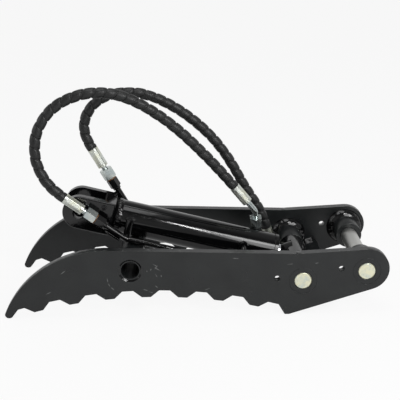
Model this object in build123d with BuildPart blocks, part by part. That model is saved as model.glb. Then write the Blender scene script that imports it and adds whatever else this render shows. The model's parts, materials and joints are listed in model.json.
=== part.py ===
"""Hydraulic excavator thumb: two toothed side plates, a cross tube, two pins and a folded-down cylinder.

Millimetres. +Z is up, +X runs from the toothed tip to the pivot end, and +Y from the near plate to the far one.
The origin is on the ground under the middle of the thumb, which rests on its tip and its heel.
"""
from build123d import *
import os
from math import asin, atan2, cos, hypot, pi, radians, sin, sqrt, tan

os.makedirs("parts", exist_ok=True)

# Side plates. Places on them are (reach from the pivot pin towards the tip, height above the ground)
PLATE_THICKNESS = 12.0
INNER_WIDTH = 166.0
PIVOT_HEIGHT = 65.7
CYLINDER_PIN_AT = (90.9, 52.3)
CROSS_TUBE_AT = (336.7, 71.3)
RETAINER_HOLES_AT = ((36.5, 70.2), (127.8, 56.5))
RETAINER_HOLE_DIAMETER = 8.5
PIVOT_END_RADIUS = 31.2
PIVOT_END_CENTRE = (-1.0, 68.0)
KNEE_AT = (98.0, 94.0)
KNEE_RADIUS = 90.0
BACK_RADIUS = 159.2
BACK_TOP_HEIGHT = 102.5
BACK_TIP_REACH = 519.56
TIP_WIDTH = 11.7
TIP_ROUNDING = 5.4
HEEL_REACH = 109.4
HEEL_WIDTH = 6.4
HEEL_ROUNDING = 2.6

# Teeth, evenly spaced along an arc that bows upwards
TOOTH_ARC_RADIUS = 670.0
TOOTH_ARC_CROWN = (307.0, 30.3)
TOOTH_COUNT = 7
TOOTH_PITCH = 51.8
TOOTH_SHIFT = 7.6
TOOTH_CREST_LENGTH = 13.0
TOOTH_ROOT_LENGTH = 15.5
TIP_ROOT_LENGTH = 9.5
TOOTH_DEPTH = 10.3
TOOTH_ROUNDING = 1.4

# Pins, bosses and cross members
PIN_DIAMETER = 25.0
PIN_CHAMFER = 1.0
PIN_CLEARANCE = 0.05
BOSS_DIAMETER = 40.0
PIVOT_GAP = 84.0
EYE_GAP = 66.0
BOSS_WELD_LEG = 8.5
CROSS_TUBE_DIAMETER = 34.0
CROSS_TUBE_BORE = 26.0
CROSS_TUBE_RECESS = 2.0
TUBE_WELD_WIDTH = 2.4
HEEL_BAR_WIDTH = 24.0
HEEL_BAR_THICKNESS = 12.0
HEEL_BAR_LIFT = 9.0
HEEL_BAR_SETBACK = 51.0
HEEL_WELD_LEG = 6.0
HEEL_WELD_INSET = 6.5

# Cylinder, along its axis from the cylinder pin towards the base clevis
BARREL_DIAMETER = 50.0
BARREL_WALL = 5.0
BARREL_LENGTH = 232.4
BARREL_REST_GAP = 0.3
ROD_DIAMETER = 22.0
ROD_SHOWING = 11.4
RUNNING_GAP = 0.05
EYE_DIAMETER = 40.0
EYE_CLEARANCE = 1.0
EYE_CHAMFER = 1.5
EYE_BUSH_WALL = 2.5
EYE_BUSH_LENGTH = 24.0
ROD_WELD_LEG = 5.0
FLANGE_LENGTH = 5.0
FLANGE_GROOVE = 1.2
FLANGE_GROOVE_DEPTH = 2.0
GLAND_LENGTH = 35.0
SEAL_SECTION = 4.0
WIPER_LENGTH = 4.6
WIPER_LIP = 1.2
ROD_SEAL_LENGTH = 6.0
ROD_SEAL_INSET = 15.0
O_RING_SECTION = 3.0
O_RING_INSET = 7.0
PISTON_LENGTH = 25.0
PISTON_SEAL_LENGTH = 8.0
PISTON_SEAL_SECTION = 3.5
WEAR_RING_LENGTH = 5.6
WEAR_RING_SECTION = 2.0
PISTON_LAND = 3.5
ROD_END_DIAMETER = 16.0
PISTON_NUT_FLATS = 24.0
PISTON_NUT_LENGTH = 12.0
PISTON_STOP_GAP = 1.0
BASE_SPIGOT = 8.0
BASE_NECK = 12.0
BASE_WELD_CROWN = 1.4
CLEVIS_BLOCK = 14.0
CLEVIS_EAR_LENGTH = 35.0
CLEVIS_FLANK = 2.5
CLEVIS_GAP = 32.0
CLEVIS_BORE = 20.0
CLEVIS_SLOT_ROUNDING = 4.0
CLEVIS_EDGE = 2.5
PLUG_DIAMETER = 8.0
PLUG_SEAT = 5.0
PLUG_HEAD = 1.6
PLUG_SOCKET = 4.0
PLUG_AT = (2.0, 16.2)

# Hard lines, their ports and supports
PIPE_DIAMETER = 9.0
PIPE_BORE = 6.0
PIPE_NUT_GAP = 0.185
PIPE_TUBE_GAP = 1.4
PIPE_BEND = 10.0
LINE_BEND = 22.0
PORT_BEND = 7.0
PORT_DIAMETER = 16.0
PORT_STAND = 5.0
PORT_SEAT = 3.0
PORT_HOLE = 5.0
HEAD_PORT_SETBACK = 46.4
HEAD_PORT_RISE = 4.0
HEAD_BEND_INSET = 13.3
HEAD_LINE_TILT = 22.4
HEAD_ADAPTER_AT = 35.0
BASE_PORT_INSET = 12.0
BASE_LINE_TILT = 46.6
BASE_ADAPTER_AT = 38.3
STANDOFF_DIAMETER = 11.0
STANDOFF_RISE = 9.5
STANDOFF_SINK = 1.0
STANDOFF_WELD = 2.0
BRACKET_THICKNESS = 3.0
BRACKET_WIDTH = 16.0
BRACKET_SETBACK = 8.0
BRACKET_SHORTFALL = 2.0

# Hose fittings
ADAPTER_SLEEVE_DIAMETER = 12.0
ADAPTER_SLEEVE = 4.0
ADAPTER_FLATS = 15.0
ADAPTER_HEX_LENGTH = 14.0
HEX_CHAMFER_ANGLE = 30.0
THREAD_DIAMETER = 12.6
THREAD_LENGTH = 10.0
RING_DIAMETER = 15.6
RING_THICKNESS = 1.6
NUT_FLATS = 17.0
NUT_LENGTH = 16.5
NUT_SHOULDER = 4.0
NUT_CLEARANCE = 0.1
NIPPLE_DIAMETER = 8.6
NIPPLE_BORE = 5.0
NIPPLE_NECK = 5.5
FERRULE_DIAMETER = 15.6
FERRULE_LENGTH = 31.0
FERRULE_FLATS = 14.9
FERRULE_SIDES = 8
FERRULE_RIM = 4.0
ELBOW_BEND = 15.0
ELBOW_TO_FERRULE = 20.0
ELBOW_TO_NUT = 10.0

# Hoses: straight stretches at the ferrules, the route between them, and where the free ends lie
HOSE_DIAMETER = 16.0
NEAR_EXIT_RUN = 24.0
FAR_EXIT_RUN = 18.0
HOSE_ENTRY_RUN = 30.0
NEAR_ROUTE = (
    (-225, -33, 206), (-228, -31, 231), (-225, -28, 253), (-215, -25, 273), (-200, -22, 290), (-179, -19, 302),
    (-151, -16, 310), (-114, -11, 308), (-73, -5, 289), (-28, 1, 255), (10, 6, 216))
FAR_ROUTE = (
    (-164, 38, 248), (-159, 38, 266), (-148, 39, 281), (-131, 40, 292), (-108, 42, 297), (-78, 44, 296),
    (-44, 45, 283), (-8, 46, 260), (28, 47, 227), (56, 46, 188), (80, 45, 143))
NEAR_ELBOW_AT = (91.6, 8.6, 120.4)
NEAR_FERRULE_DIRECTION = (0.637, 0.0, -0.771)
NEAR_NUT_DIRECTION = (0.05, 0.24, -0.97)
FAR_ELBOW_AT = (127.8, 45.0, 31.4)
FAR_FERRULE_DIRECTION = (0.3, 0.0, -0.954)
FAR_NUT_DIRECTION = (-0.462, 0.0, -0.887)

# Sizes that follow
HALF_INNER = INNER_WIDTH / 2
HALF_OUTER = HALF_INNER + PLATE_THICKNESS
BACK_FALL = BACK_RADIUS - BACK_TOP_HEIGHT
BACK_CENTRE = (BACK_TIP_REACH - sqrt(BACK_RADIUS**2 - BACK_FALL**2), -BACK_FALL)
TIP_REACH = BACK_CENTRE[0] + TIP_ROUNDING + sqrt(
    (BACK_RADIUS - TIP_ROUNDING)**2 - (TIP_ROUNDING - BACK_CENTRE[1])**2)
PIVOT_END_REACH = PIVOT_END_RADIUS - PIVOT_END_CENTRE[0]
PIVOT_X = (TIP_REACH - PIVOT_END_REACH) / 2
SIDES = {"near": -1, "far": 1}

# Sections of the cylinder and places of its hard lines that go with the barrel
BARREL_BORE = BARREL_DIAMETER - 2 * BARREL_WALL
CLEVIS_HEIGHT = BARREL_DIAMETER
CLEVIS_WIDTH = BARREL_DIAMETER + 2 * CLEVIS_FLANK
PIPE_SIDE = CLEVIS_WIDTH / 2 + NUT_FLATS / sqrt(3) + PIPE_NUT_GAP
HEAD_PIPE_DROP = BARREL_DIAMETER / 2 + BARREL_REST_GAP - PIPE_TUBE_GAP - PIPE_DIAMETER / 2

# Drawing plane of the thumb: x is the reach, y the height, and its offset the place along +Y
THUMB = Plane(origin=(PIVOT_X, 0, 0), x_dir=(-1, 0, 0), z_dir=(0, 1, 0))

# Drawing plane of the cylinder, which lies on the cross tube: x runs along its axis from the cylinder pin
TUBE_DISTANCE = hypot(CROSS_TUBE_AT[0] - CYLINDER_PIN_AT[0], CROSS_TUBE_AT[1] - CYLINDER_PIN_AT[1])
TUBE_BEARING = atan2(CROSS_TUBE_AT[1] - CYLINDER_PIN_AT[1], CROSS_TUBE_AT[0] - CYLINDER_PIN_AT[0])
REST_DISTANCE = BARREL_DIAMETER / 2 + CROSS_TUBE_DIAMETER / 2 + BARREL_REST_GAP
CYLINDER_RISE = TUBE_BEARING + asin(REST_DISTANCE / TUBE_DISTANCE)
CYLINDER = Plane(
    origin=THUMB.from_local_coords((CYLINDER_PIN_AT[0], CYLINDER_PIN_AT[1], 0)),
    x_dir=(-cos(CYLINDER_RISE), 0, sin(CYLINDER_RISE)),
    z_dir=(0, 1, 0))

# Stations along the cylinder
FLANGE_AT = EYE_DIAMETER / 2 + ROD_SHOWING
BARREL_AT = FLANGE_AT + FLANGE_LENGTH + FLANGE_GROOVE
GLAND_END = FLANGE_AT + GLAND_LENGTH
BARREL_END = BARREL_AT + BARREL_LENGTH
SPIGOT_AT = BARREL_END - BASE_SPIGOT
BLOCK_AT = BARREL_END + BASE_NECK
SLOT_AT = BLOCK_AT + CLEVIS_BLOCK
CLEVIS_AT = SLOT_AT + CLEVIS_EAR_LENGTH
ROD_END = SPIGOT_AT - PISTON_STOP_GAP
PISTON_END = ROD_END - PISTON_NUT_LENGTH
PISTON_AT = PISTON_END - PISTON_LENGTH
HEAD_PORT_AT = BARREL_AT + HEAD_PORT_SETBACK
BASE_PORT_AT = BARREL_END - BASE_PORT_INSET
HEAD_BEND_AT = BARREL_END - HEAD_BEND_INSET
EYE_WIDTH = EYE_GAP - 2 * EYE_CLEARANCE
PORT_FACE = BARREL_DIAMETER / 2 + PORT_STAND

# Distances along a hose fitting from the start of its adapter
RING_AT = ADAPTER_SLEEVE + ADAPTER_HEX_LENGTH
LINE_NUT_AT = RING_AT + RING_THICKNESS
COLLAR_AT = LINE_NUT_AT + THREAD_LENGTH
COLLAR_LENGTH = NUT_LENGTH - NUT_SHOULDER - THREAD_LENGTH
FERRULE_AT = LINE_NUT_AT + NUT_LENGTH + NIPPLE_NECK
FERRULE_END = FERRULE_AT + FERRULE_LENGTH


def on_cylinder(along, across, side):
    """A place given along the cylinder, across it and to the side."""
    return CYLINDER.from_local_coords((along, across, side))


def line_plane(along, across, side, tilt):
    """A plane whose x axis follows a sloping line that tilts away from the cylinder's axis."""
    origin = on_cylinder(along, across, side)
    return Plane(origin=origin, x_dir=CYLINDER.x_dir.rotate(Axis((0, 0, 0), CYLINDER.z_dir), tilt), z_dir=(0, 1, 0))


def cross_plane(point, direction):
    """A plane across something that runs along direction."""
    return Plane(origin=point, z_dir=direction)


def tangent_point(start, centre, radius, side):
    """Where a line from start touches a circle: side is +1 for the turn to the left and -1 for the right."""
    away = hypot(centre[0] - start[0], centre[1] - start[1])
    bearing = atan2(centre[1] - start[1], centre[0] - start[0]) + side * asin(radius / away)
    length = sqrt(away**2 - radius**2)
    return (start[0] + length * cos(bearing), start[1] + length * sin(bearing))


def arc_place(along, lift):
    """A place on the tooth arc: along it from the crown towards the tip, and lifted off it."""
    turn = along / TOOTH_ARC_RADIUS
    radius = TOOTH_ARC_RADIUS + lift
    return (
        TOOTH_ARC_CROWN[0] + radius * sin(turn),
        TOOTH_ARC_CROWN[1] - TOOTH_ARC_RADIUS + radius * cos(turn))


def tooth_points():
    """Corners of the toothed edge, from the tip to the heel: a root before each crest and one after the last."""
    points = []
    for tooth in range(TOOTH_COUNT + 1):
        crest = TOOTH_SHIFT + TOOTH_PITCH * ((TOOTH_COUNT - 1) / 2 - tooth)
        root = crest + TOOTH_PITCH / 2
        root_start = root + TOOTH_ROOT_LENGTH / 2
        root_end = root - TOOTH_ROOT_LENGTH / 2
        if tooth == 0:
            root_start = root_end + TIP_ROOT_LENGTH
        points.append(arc_place(root_start, TOOTH_DEPTH))
        points.append(arc_place(root_end, TOOTH_DEPTH))
        if tooth < TOOTH_COUNT:
            points.append(arc_place(crest + TOOTH_CREST_LENGTH / 2, 0))
            points.append(arc_place(crest - TOOTH_CREST_LENGTH / 2, 0))
    return points


def finish(piece, name):
    """Name a piece and write it."""
    piece.label = name
    export_step(piece, f"parts/{name}.step")


def turned(plane, *outline):
    """A piece turned about a plane's x axis, from a closed outline of (along, radius)."""
    with BuildPart() as piece:
        with BuildSketch(plane):
            with BuildLine():
                Polyline(*outline, close=True)
            make_face()
        revolve(axis=Axis(plane.origin, plane.x_dir))
    return piece.part


def across_plane(place, side):
    """A plane at a place on the thumb whose x axis points out to one side."""
    return Plane(
        origin=THUMB.from_local_coords((place[0], place[1], 0)),
        x_dir=(0, side, 0),
        z_dir=(1, 0, 0))


def rod_between(plane, radius, start, end):
    """A plain round bar along a plane's x axis."""
    return turned(plane, (start, 0), (start, radius), (end, radius), (end, 0))


def ring_between(plane, inner, outer, start, end):
    """A plain ring about a plane's x axis."""
    return turned(plane, (start, inner), (start, outer), (end, outer), (end, inner))


def hex_piece(plane, flats, start, end, bore):
    """A bored hexagon along a plane's x axis, with its corners chamfered at both ends."""
    corner = flats / sqrt(3)
    chamfer_length = (corner - flats / 2) * tan(radians(HEX_CHAMFER_ANGLE))
    with BuildPart() as piece:
        with BuildSketch(cross_plane(plane.from_local_coords((start, 0, 0)), plane.x_dir)):
            RegularPolygon(flats / 2, 6, major_radius=False)
            Circle(bore / 2, mode=Mode.SUBTRACT)
        extrude(amount=end - start)
        with BuildSketch(plane):
            with BuildLine():
                Polyline(
                    (start, 0), (start, flats / 2), (start + chamfer_length, corner),
                    (end - chamfer_length, corner), (end, flats / 2), (end, 0), close=True)
            make_face()
        revolve(axis=Axis(plane.origin, plane.x_dir), mode=Mode.INTERSECT)
    return piece.part


def swept_bar(points, radii, diameter, bore=0.0):
    """A round bar or tube that follows straight runs joined by arcs."""
    with BuildPart() as piece:
        with BuildLine() as path:
            FilletPolyline(*points, radius=radii)
        with BuildSketch(cross_plane(path.line @ 0, path.line % 0)):
            Circle(diameter / 2)
            if bore > 0:
                Circle(bore / 2, mode=Mode.SUBTRACT)
        sweep()
    return piece.part


BARREL_ENVELOPE = rod_between(CYLINDER, BARREL_DIAMETER / 2, BARREL_AT, BARREL_END)
EYE_PLANE = across_plane(CYLINDER_PIN_AT, 1)
EYE_ENVELOPE = rod_between(EYE_PLANE, EYE_DIAMETER / 2, -EYE_WIDTH / 2, EYE_WIDTH / 2)

# Side plates
HEEL_START = (HEEL_REACH, 0.0)
HEEL_EDGE_END = tangent_point(HEEL_START, PIVOT_END_CENTRE, PIVOT_END_RADIUS, 1)
HEEL_SLOPE = atan2(HEEL_EDGE_END[1], HEEL_REACH - HEEL_EDGE_END[0])
END_TOP = tangent_point(KNEE_AT, PIVOT_END_CENTRE, PIVOT_END_RADIUS, -1)
END_SIDE = (PIVOT_END_CENTRE[0] - PIVOT_END_RADIUS, PIVOT_END_CENTRE[1])
BACK_TOP = tangent_point(KNEE_AT, BACK_CENTRE, BACK_RADIUS, 1)
BACK_SIDE = (BACK_CENTRE[0] + BACK_RADIUS * cos(pi / 4), BACK_CENTRE[1] + BACK_RADIUS * sin(pi / 4))
TIP_CORNERS = ((BACK_TIP_REACH, 0), (BACK_TIP_REACH - TIP_WIDTH, 0))
HEEL_CORNERS = ((HEEL_REACH + HEEL_WIDTH, 0), HEEL_START)

for side_name, side in SIDES.items():
    with BuildPart() as side_plate:
        with BuildSketch(THUMB.offset(side * HALF_INNER)):
            with BuildLine():
                Line(HEEL_START, HEEL_EDGE_END)
                ThreePointArc(HEEL_EDGE_END, END_SIDE, END_TOP)
                Polyline(END_TOP, KNEE_AT, BACK_TOP)
                ThreePointArc(BACK_TOP, BACK_SIDE, TIP_CORNERS[0])
                Polyline(*TIP_CORNERS, *tooth_points(), *HEEL_CORNERS)
            outline = make_face()
            rounded = [(corner, TIP_ROUNDING) for corner in TIP_CORNERS]
            rounded += [(corner, HEEL_ROUNDING) for corner in HEEL_CORNERS]
            rounded += [(corner, TOOTH_ROUNDING) for corner in tooth_points()]
            rounded += [(KNEE_AT, KNEE_RADIUS)]
            for corner, rounding in rounded:
                fillet(vertices().sort_by_distance(corner)[0], rounding)
            with Locations(CYLINDER_PIN_AT, (0, PIVOT_HEIGHT)):
                Circle(BOSS_DIAMETER / 2, mode=Mode.SUBTRACT)
            with Locations(CROSS_TUBE_AT):
                Circle(CROSS_TUBE_DIAMETER / 2, mode=Mode.SUBTRACT)
            with Locations(*RETAINER_HOLES_AT):
                Circle(RETAINER_HOLE_DIAMETER / 2, mode=Mode.SUBTRACT)
        extrude(amount=side * PLATE_THICKNESS)
    finish(side_plate.part, f"side_plate_{side_name}")

# Cross tube, with a weld in the recess at each end
tube_end = HALF_OUTER - CROSS_TUBE_RECESS
tube_plane = across_plane(CROSS_TUBE_AT, 1)
cross_tube = ring_between(tube_plane, CROSS_TUBE_BORE / 2, CROSS_TUBE_DIAMETER / 2, -tube_end, tube_end)
finish(cross_tube, "cross_tube")
tube_welds = []
for side in SIDES.values():
    tube_welds.append(turned(
        across_plane(CROSS_TUBE_AT, side),
        (tube_end, CROSS_TUBE_DIAMETER / 2 - TUBE_WELD_WIDTH),
        (tube_end, CROSS_TUBE_DIAMETER / 2),
        (HALF_OUTER, CROSS_TUBE_DIAMETER / 2)))
finish(Compound(children=tube_welds), "cross_tube_welds")

# Bosses, their welds on the inside of the plates, and the pins
BOSS_PLACES = {"cylinder": (CYLINDER_PIN_AT, EYE_GAP), "pivot": ((0, PIVOT_HEIGHT), PIVOT_GAP)}
for side_name, side in SIDES.items():
    boss_welds = []
    for pin_name, (place, gap) in BOSS_PLACES.items():
        plane = across_plane(place, side)
        boss = ring_between(
            plane, PIN_DIAMETER / 2 + PIN_CLEARANCE, BOSS_DIAMETER / 2, gap / 2, HALF_OUTER)
        finish(boss, f"{pin_name}_boss_{side_name}")
        boss_welds.append(turned(
            plane,
            (HALF_INNER, BOSS_DIAMETER / 2),
            (HALF_INNER, BOSS_DIAMETER / 2 + BOSS_WELD_LEG),
            (HALF_INNER - BOSS_WELD_LEG / 2, BOSS_DIAMETER / 2 + BOSS_WELD_LEG * 0.65),
            (HALF_INNER - BOSS_WELD_LEG, BOSS_DIAMETER / 2)))
    finish(Compound(children=boss_welds), f"boss_welds_{side_name}")

for pin_name, (place, gap) in BOSS_PLACES.items():
    pin = turned(
        across_plane(place, 1),
        (-HALF_OUTER, 0),
        (-HALF_OUTER, PIN_DIAMETER / 2 - PIN_CHAMFER),
        (-HALF_OUTER + PIN_CHAMFER, PIN_DIAMETER / 2),
        (HALF_OUTER - PIN_CHAMFER, PIN_DIAMETER / 2),
        (HALF_OUTER, PIN_DIAMETER / 2 - PIN_CHAMFER),
        (HALF_OUTER, 0))
    finish(pin, f"{pin_name}_pin")

# Cross bar at the heel, parallel to the edge of the plates, with a fillet weld along each face at each end
HEEL = Plane(
    origin=THUMB.from_local_coords((HEEL_REACH, 0, 0)),
    x_dir=(cos(HEEL_SLOPE), 0, sin(HEEL_SLOPE)),
    z_dir=(0, -1, 0))
with BuildPart() as heel_bar:
    with BuildSketch(HEEL):
        with Locations((HEEL_BAR_SETBACK, HEEL_BAR_LIFT)):
            Rectangle(HEEL_BAR_WIDTH, HEEL_BAR_THICKNESS, align=(Align.MIN, Align.MIN))
    extrude(amount=HALF_INNER, both=True)
finish(heel_bar.part, "heel_bar")
heel_welds = []
for side in SIDES.values():
    for face, outward in ((HEEL_BAR_LIFT, -1), (HEEL_BAR_LIFT + HEEL_BAR_THICKNESS, 1)):
        weld_origin = HEEL.from_local_coords((HEEL_BAR_SETBACK + HEEL_WELD_INSET, 0, 0))
        with BuildPart() as heel_weld:
            with BuildSketch(Plane(origin=weld_origin, x_dir=(0, 1, 0), z_dir=HEEL.x_dir)):
                with BuildLine():
                    Polyline(
                        (side * HALF_INNER, face),
                        (side * (HALF_INNER - HEEL_WELD_LEG), face),
                        (side * HALF_INNER, face + outward * HEEL_WELD_LEG),
                        close=True)
                make_face()
            extrude(amount=HEEL_BAR_WIDTH - 2 * HEEL_WELD_INSET)
        heel_welds.append(heel_weld.part)
finish(Compound(children=heel_welds), "heel_bar_welds")

# Rod eye with its two bushes, the rod welded to it, and the piston at the rod's end
EYE_BORE = PIN_DIAMETER + 2 * PIN_CLEARANCE + 2 * EYE_BUSH_WALL
rod_eye = turned(
    EYE_PLANE,
    (-EYE_WIDTH / 2, EYE_BORE / 2),
    (-EYE_WIDTH / 2, EYE_DIAMETER / 2 - EYE_CHAMFER),
    (-EYE_WIDTH / 2 + EYE_CHAMFER, EYE_DIAMETER / 2),
    (EYE_WIDTH / 2 - EYE_CHAMFER, EYE_DIAMETER / 2),
    (EYE_WIDTH / 2, EYE_DIAMETER / 2 - EYE_CHAMFER),
    (EYE_WIDTH / 2, EYE_BORE / 2))
finish(rod_eye, "rod_eye")
eye_bushes = []
for side in SIDES.values():
    eye_bushes.append(ring_between(
        across_plane(CYLINDER_PIN_AT, side), PIN_DIAMETER / 2 + PIN_CLEARANCE, EYE_BORE / 2,
        EYE_WIDTH / 2 - EYE_BUSH_LENGTH, EYE_WIDTH / 2))
finish(Compound(children=eye_bushes), "eye_bushes")

rod = turned(
    CYLINDER,
    (EYE_DIAMETER / 4, 0),
    (EYE_DIAMETER / 4, ROD_DIAMETER / 2),
    (PISTON_AT, ROD_DIAMETER / 2),
    (PISTON_AT, ROD_END_DIAMETER / 2),
    (ROD_END, ROD_END_DIAMETER / 2),
    (ROD_END, 0))
finish(rod - EYE_ENVELOPE, "rod")
rod_weld = turned(
    CYLINDER,
    (EYE_DIAMETER / 4, ROD_DIAMETER / 2),
    (EYE_DIAMETER / 4, ROD_DIAMETER / 2 + 2 * ROD_WELD_LEG),
    (EYE_DIAMETER / 2 + ROD_WELD_LEG, ROD_DIAMETER / 2))
finish(rod_weld - EYE_ENVELOPE, "rod_eye_weld")

PISTON_RADIUS = BARREL_BORE / 2 - RUNNING_GAP
WEAR_RING_AT = PISTON_AT + PISTON_LAND
PISTON_SEAL_AT = WEAR_RING_AT + WEAR_RING_LENGTH + PISTON_LAND
piston = turned(
    CYLINDER,
    (PISTON_AT, ROD_END_DIAMETER / 2),
    (PISTON_AT, PISTON_RADIUS),
    (WEAR_RING_AT, PISTON_RADIUS),
    (WEAR_RING_AT, PISTON_RADIUS - WEAR_RING_SECTION),
    (WEAR_RING_AT + WEAR_RING_LENGTH, PISTON_RADIUS - WEAR_RING_SECTION),
    (WEAR_RING_AT + WEAR_RING_LENGTH, PISTON_RADIUS),
    (PISTON_SEAL_AT, PISTON_RADIUS),
    (PISTON_SEAL_AT, PISTON_RADIUS - PISTON_SEAL_SECTION),
    (PISTON_SEAL_AT + PISTON_SEAL_LENGTH, PISTON_RADIUS - PISTON_SEAL_SECTION),
    (PISTON_SEAL_AT + PISTON_SEAL_LENGTH, PISTON_RADIUS),
    (PISTON_END, PISTON_RADIUS),
    (PISTON_END, ROD_END_DIAMETER / 2))
finish(piston, "piston")
wear_ring = ring_between(
    CYLINDER, PISTON_RADIUS - WEAR_RING_SECTION, PISTON_RADIUS, WEAR_RING_AT, WEAR_RING_AT + WEAR_RING_LENGTH)
finish(wear_ring, "piston_wear_ring")
piston_seal = ring_between(
    CYLINDER, PISTON_RADIUS - PISTON_SEAL_SECTION, PISTON_RADIUS,
    PISTON_SEAL_AT, PISTON_SEAL_AT + PISTON_SEAL_LENGTH)
finish(piston_seal, "piston_seal")
finish(hex_piece(CYLINDER, PISTON_NUT_FLATS, PISTON_END, ROD_END, ROD_END_DIAMETER), "piston_nut")

# Barrel tube with its two port holes
with BuildPart() as port_holes:
    for side, station, rise in ((-1, HEAD_PORT_AT, HEAD_PORT_RISE), (1, BASE_PORT_AT, 0)):
        with BuildSketch(CYLINDER):
            with Locations((station, rise)):
                Circle(PORT_HOLE / 2)
        extrude(amount=side * PORT_FACE)
barrel_tube = ring_between(CYLINDER, BARREL_BORE / 2, BARREL_DIAMETER / 2, BARREL_AT, BARREL_END)
finish(barrel_tube - port_holes.part, "barrel_tube")

# Head gland with its wiper, rod seal and O-ring
GLAND_BORE = ROD_DIAMETER / 2 + RUNNING_GAP
SEAL_GROOVE = GLAND_BORE + SEAL_SECTION
ROD_SEAL_AT = FLANGE_AT + ROD_SEAL_INSET
O_RING_END = GLAND_END - O_RING_INSET
head_gland = turned(
    CYLINDER,
    (FLANGE_AT, SEAL_GROOVE),
    (FLANGE_AT + WIPER_LENGTH, SEAL_GROOVE),
    (FLANGE_AT + WIPER_LENGTH, GLAND_BORE),
    (ROD_SEAL_AT, GLAND_BORE),
    (ROD_SEAL_AT, SEAL_GROOVE),
    (ROD_SEAL_AT + ROD_SEAL_LENGTH, SEAL_GROOVE),
    (ROD_SEAL_AT + ROD_SEAL_LENGTH, GLAND_BORE),
    (GLAND_END, GLAND_BORE),
    (GLAND_END, BARREL_BORE / 2),
    (O_RING_END, BARREL_BORE / 2),
    (O_RING_END, BARREL_BORE / 2 - O_RING_SECTION),
    (O_RING_END - O_RING_SECTION, BARREL_BORE / 2 - O_RING_SECTION),
    (O_RING_END - O_RING_SECTION, BARREL_BORE / 2),
    (BARREL_AT, BARREL_BORE / 2),
    (BARREL_AT, BARREL_DIAMETER / 2 - FLANGE_GROOVE_DEPTH),
    (BARREL_AT - FLANGE_GROOVE, BARREL_DIAMETER / 2 - FLANGE_GROOVE_DEPTH),
    (BARREL_AT - FLANGE_GROOVE, BARREL_DIAMETER / 2),
    (FLANGE_AT, BARREL_DIAMETER / 2))
finish(head_gland, "head_gland")
wiper_seal = turned(
    CYLINDER,
    (FLANGE_AT - WIPER_LIP, GLAND_BORE),
    (FLANGE_AT - WIPER_LIP, GLAND_BORE + WIPER_LIP),
    (FLANGE_AT, SEAL_GROOVE),
    (FLANGE_AT + WIPER_LENGTH, SEAL_GROOVE),
    (FLANGE_AT + WIPER_LENGTH, GLAND_BORE))
finish(wiper_seal, "wiper_seal")
rod_seal = ring_between(CYLINDER, GLAND_BORE, SEAL_GROOVE, ROD_SEAL_AT, ROD_SEAL_AT + ROD_SEAL_LENGTH)
finish(rod_seal, "rod_seal")
with BuildPart() as gland_o_ring:
    with BuildSketch(CYLINDER):
        with Locations((O_RING_END - O_RING_SECTION / 2, BARREL_BORE / 2 - O_RING_SECTION / 2)):
            Circle(O_RING_SECTION / 2)
    revolve(axis=Axis(CYLINDER.origin, CYLINDER.x_dir))
finish(gland_o_ring.part, "gland_o_ring")

# Base clevis, one forging: spigot in the barrel, block, and two ears with the mounting bore
with BuildPart() as base_clevis:
    with BuildSketch(CYLINDER):
        with Locations((BLOCK_AT, 0)):
            Rectangle(CLEVIS_AT - BLOCK_AT, CLEVIS_HEIGHT, align=(Align.MIN, Align.CENTER))
        with Locations((CLEVIS_AT, 0)):
            Circle(CLEVIS_HEIGHT / 2)
    extrude(amount=CLEVIS_WIDTH / 2, both=True)
    fillet(base_clevis.faces().sort_by(Axis.Y)[0].edges(), CLEVIS_EDGE)
    fillet(base_clevis.faces().sort_by(Axis.Y)[-1].edges(), CLEVIS_EDGE)
    with BuildSketch(CYLINDER):
        with Locations((SLOT_AT, 0)):
            Rectangle(CLEVIS_EAR_LENGTH + CLEVIS_HEIGHT, 2 * CLEVIS_HEIGHT, align=(Align.MIN, Align.CENTER))
    extrude(amount=CLEVIS_GAP / 2, both=True, mode=Mode.SUBTRACT)
    slot_roots = [
        edge for edge in base_clevis.edges()
        if abs(CYLINDER.to_local_coords(edge.center()).X - SLOT_AT) < 0.01
        and abs(abs(edge.center().Y) - CLEVIS_GAP / 2) < 0.01]
    fillet(slot_roots, CLEVIS_SLOT_ROUNDING)
    with BuildSketch(CYLINDER):
        with Locations((CLEVIS_AT, 0)):
            Circle(CLEVIS_BORE / 2)
    extrude(amount=CLEVIS_WIDTH, both=True, mode=Mode.SUBTRACT)
    with BuildSketch(CYLINDER.offset(-CLEVIS_WIDTH / 2)):
        with Locations((SLOT_AT + PLUG_AT[0], PLUG_AT[1])):
            Circle(PLUG_DIAMETER / 2)
    extrude(amount=PLUG_SEAT, mode=Mode.SUBTRACT)
spigot = rod_between(CYLINDER, BARREL_BORE / 2, SPIGOT_AT, BLOCK_AT + CLEVIS_EDGE)
finish(base_clevis.part + spigot, "base_clevis")

with BuildPart() as base_weld:
    with BuildSketch(CYLINDER):
        with BuildLine():
            Polyline(
                (BLOCK_AT, CLEVIS_HEIGHT / 2 - CLEVIS_EDGE), (BLOCK_AT, BARREL_BORE / 2),
                (BARREL_END, BARREL_BORE / 2), (BARREL_END, BARREL_DIAMETER / 2))
            ThreePointArc(
                (BARREL_END, BARREL_DIAMETER / 2),
                ((BARREL_END + BLOCK_AT) / 2, BARREL_DIAMETER / 2 + BASE_WELD_CROWN),
                (BLOCK_AT, CLEVIS_HEIGHT / 2 - CLEVIS_EDGE))
        make_face()
    revolve(axis=Axis(CYLINDER.origin, CYLINDER.x_dir))
finish(base_weld.part, "base_weld")

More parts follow.
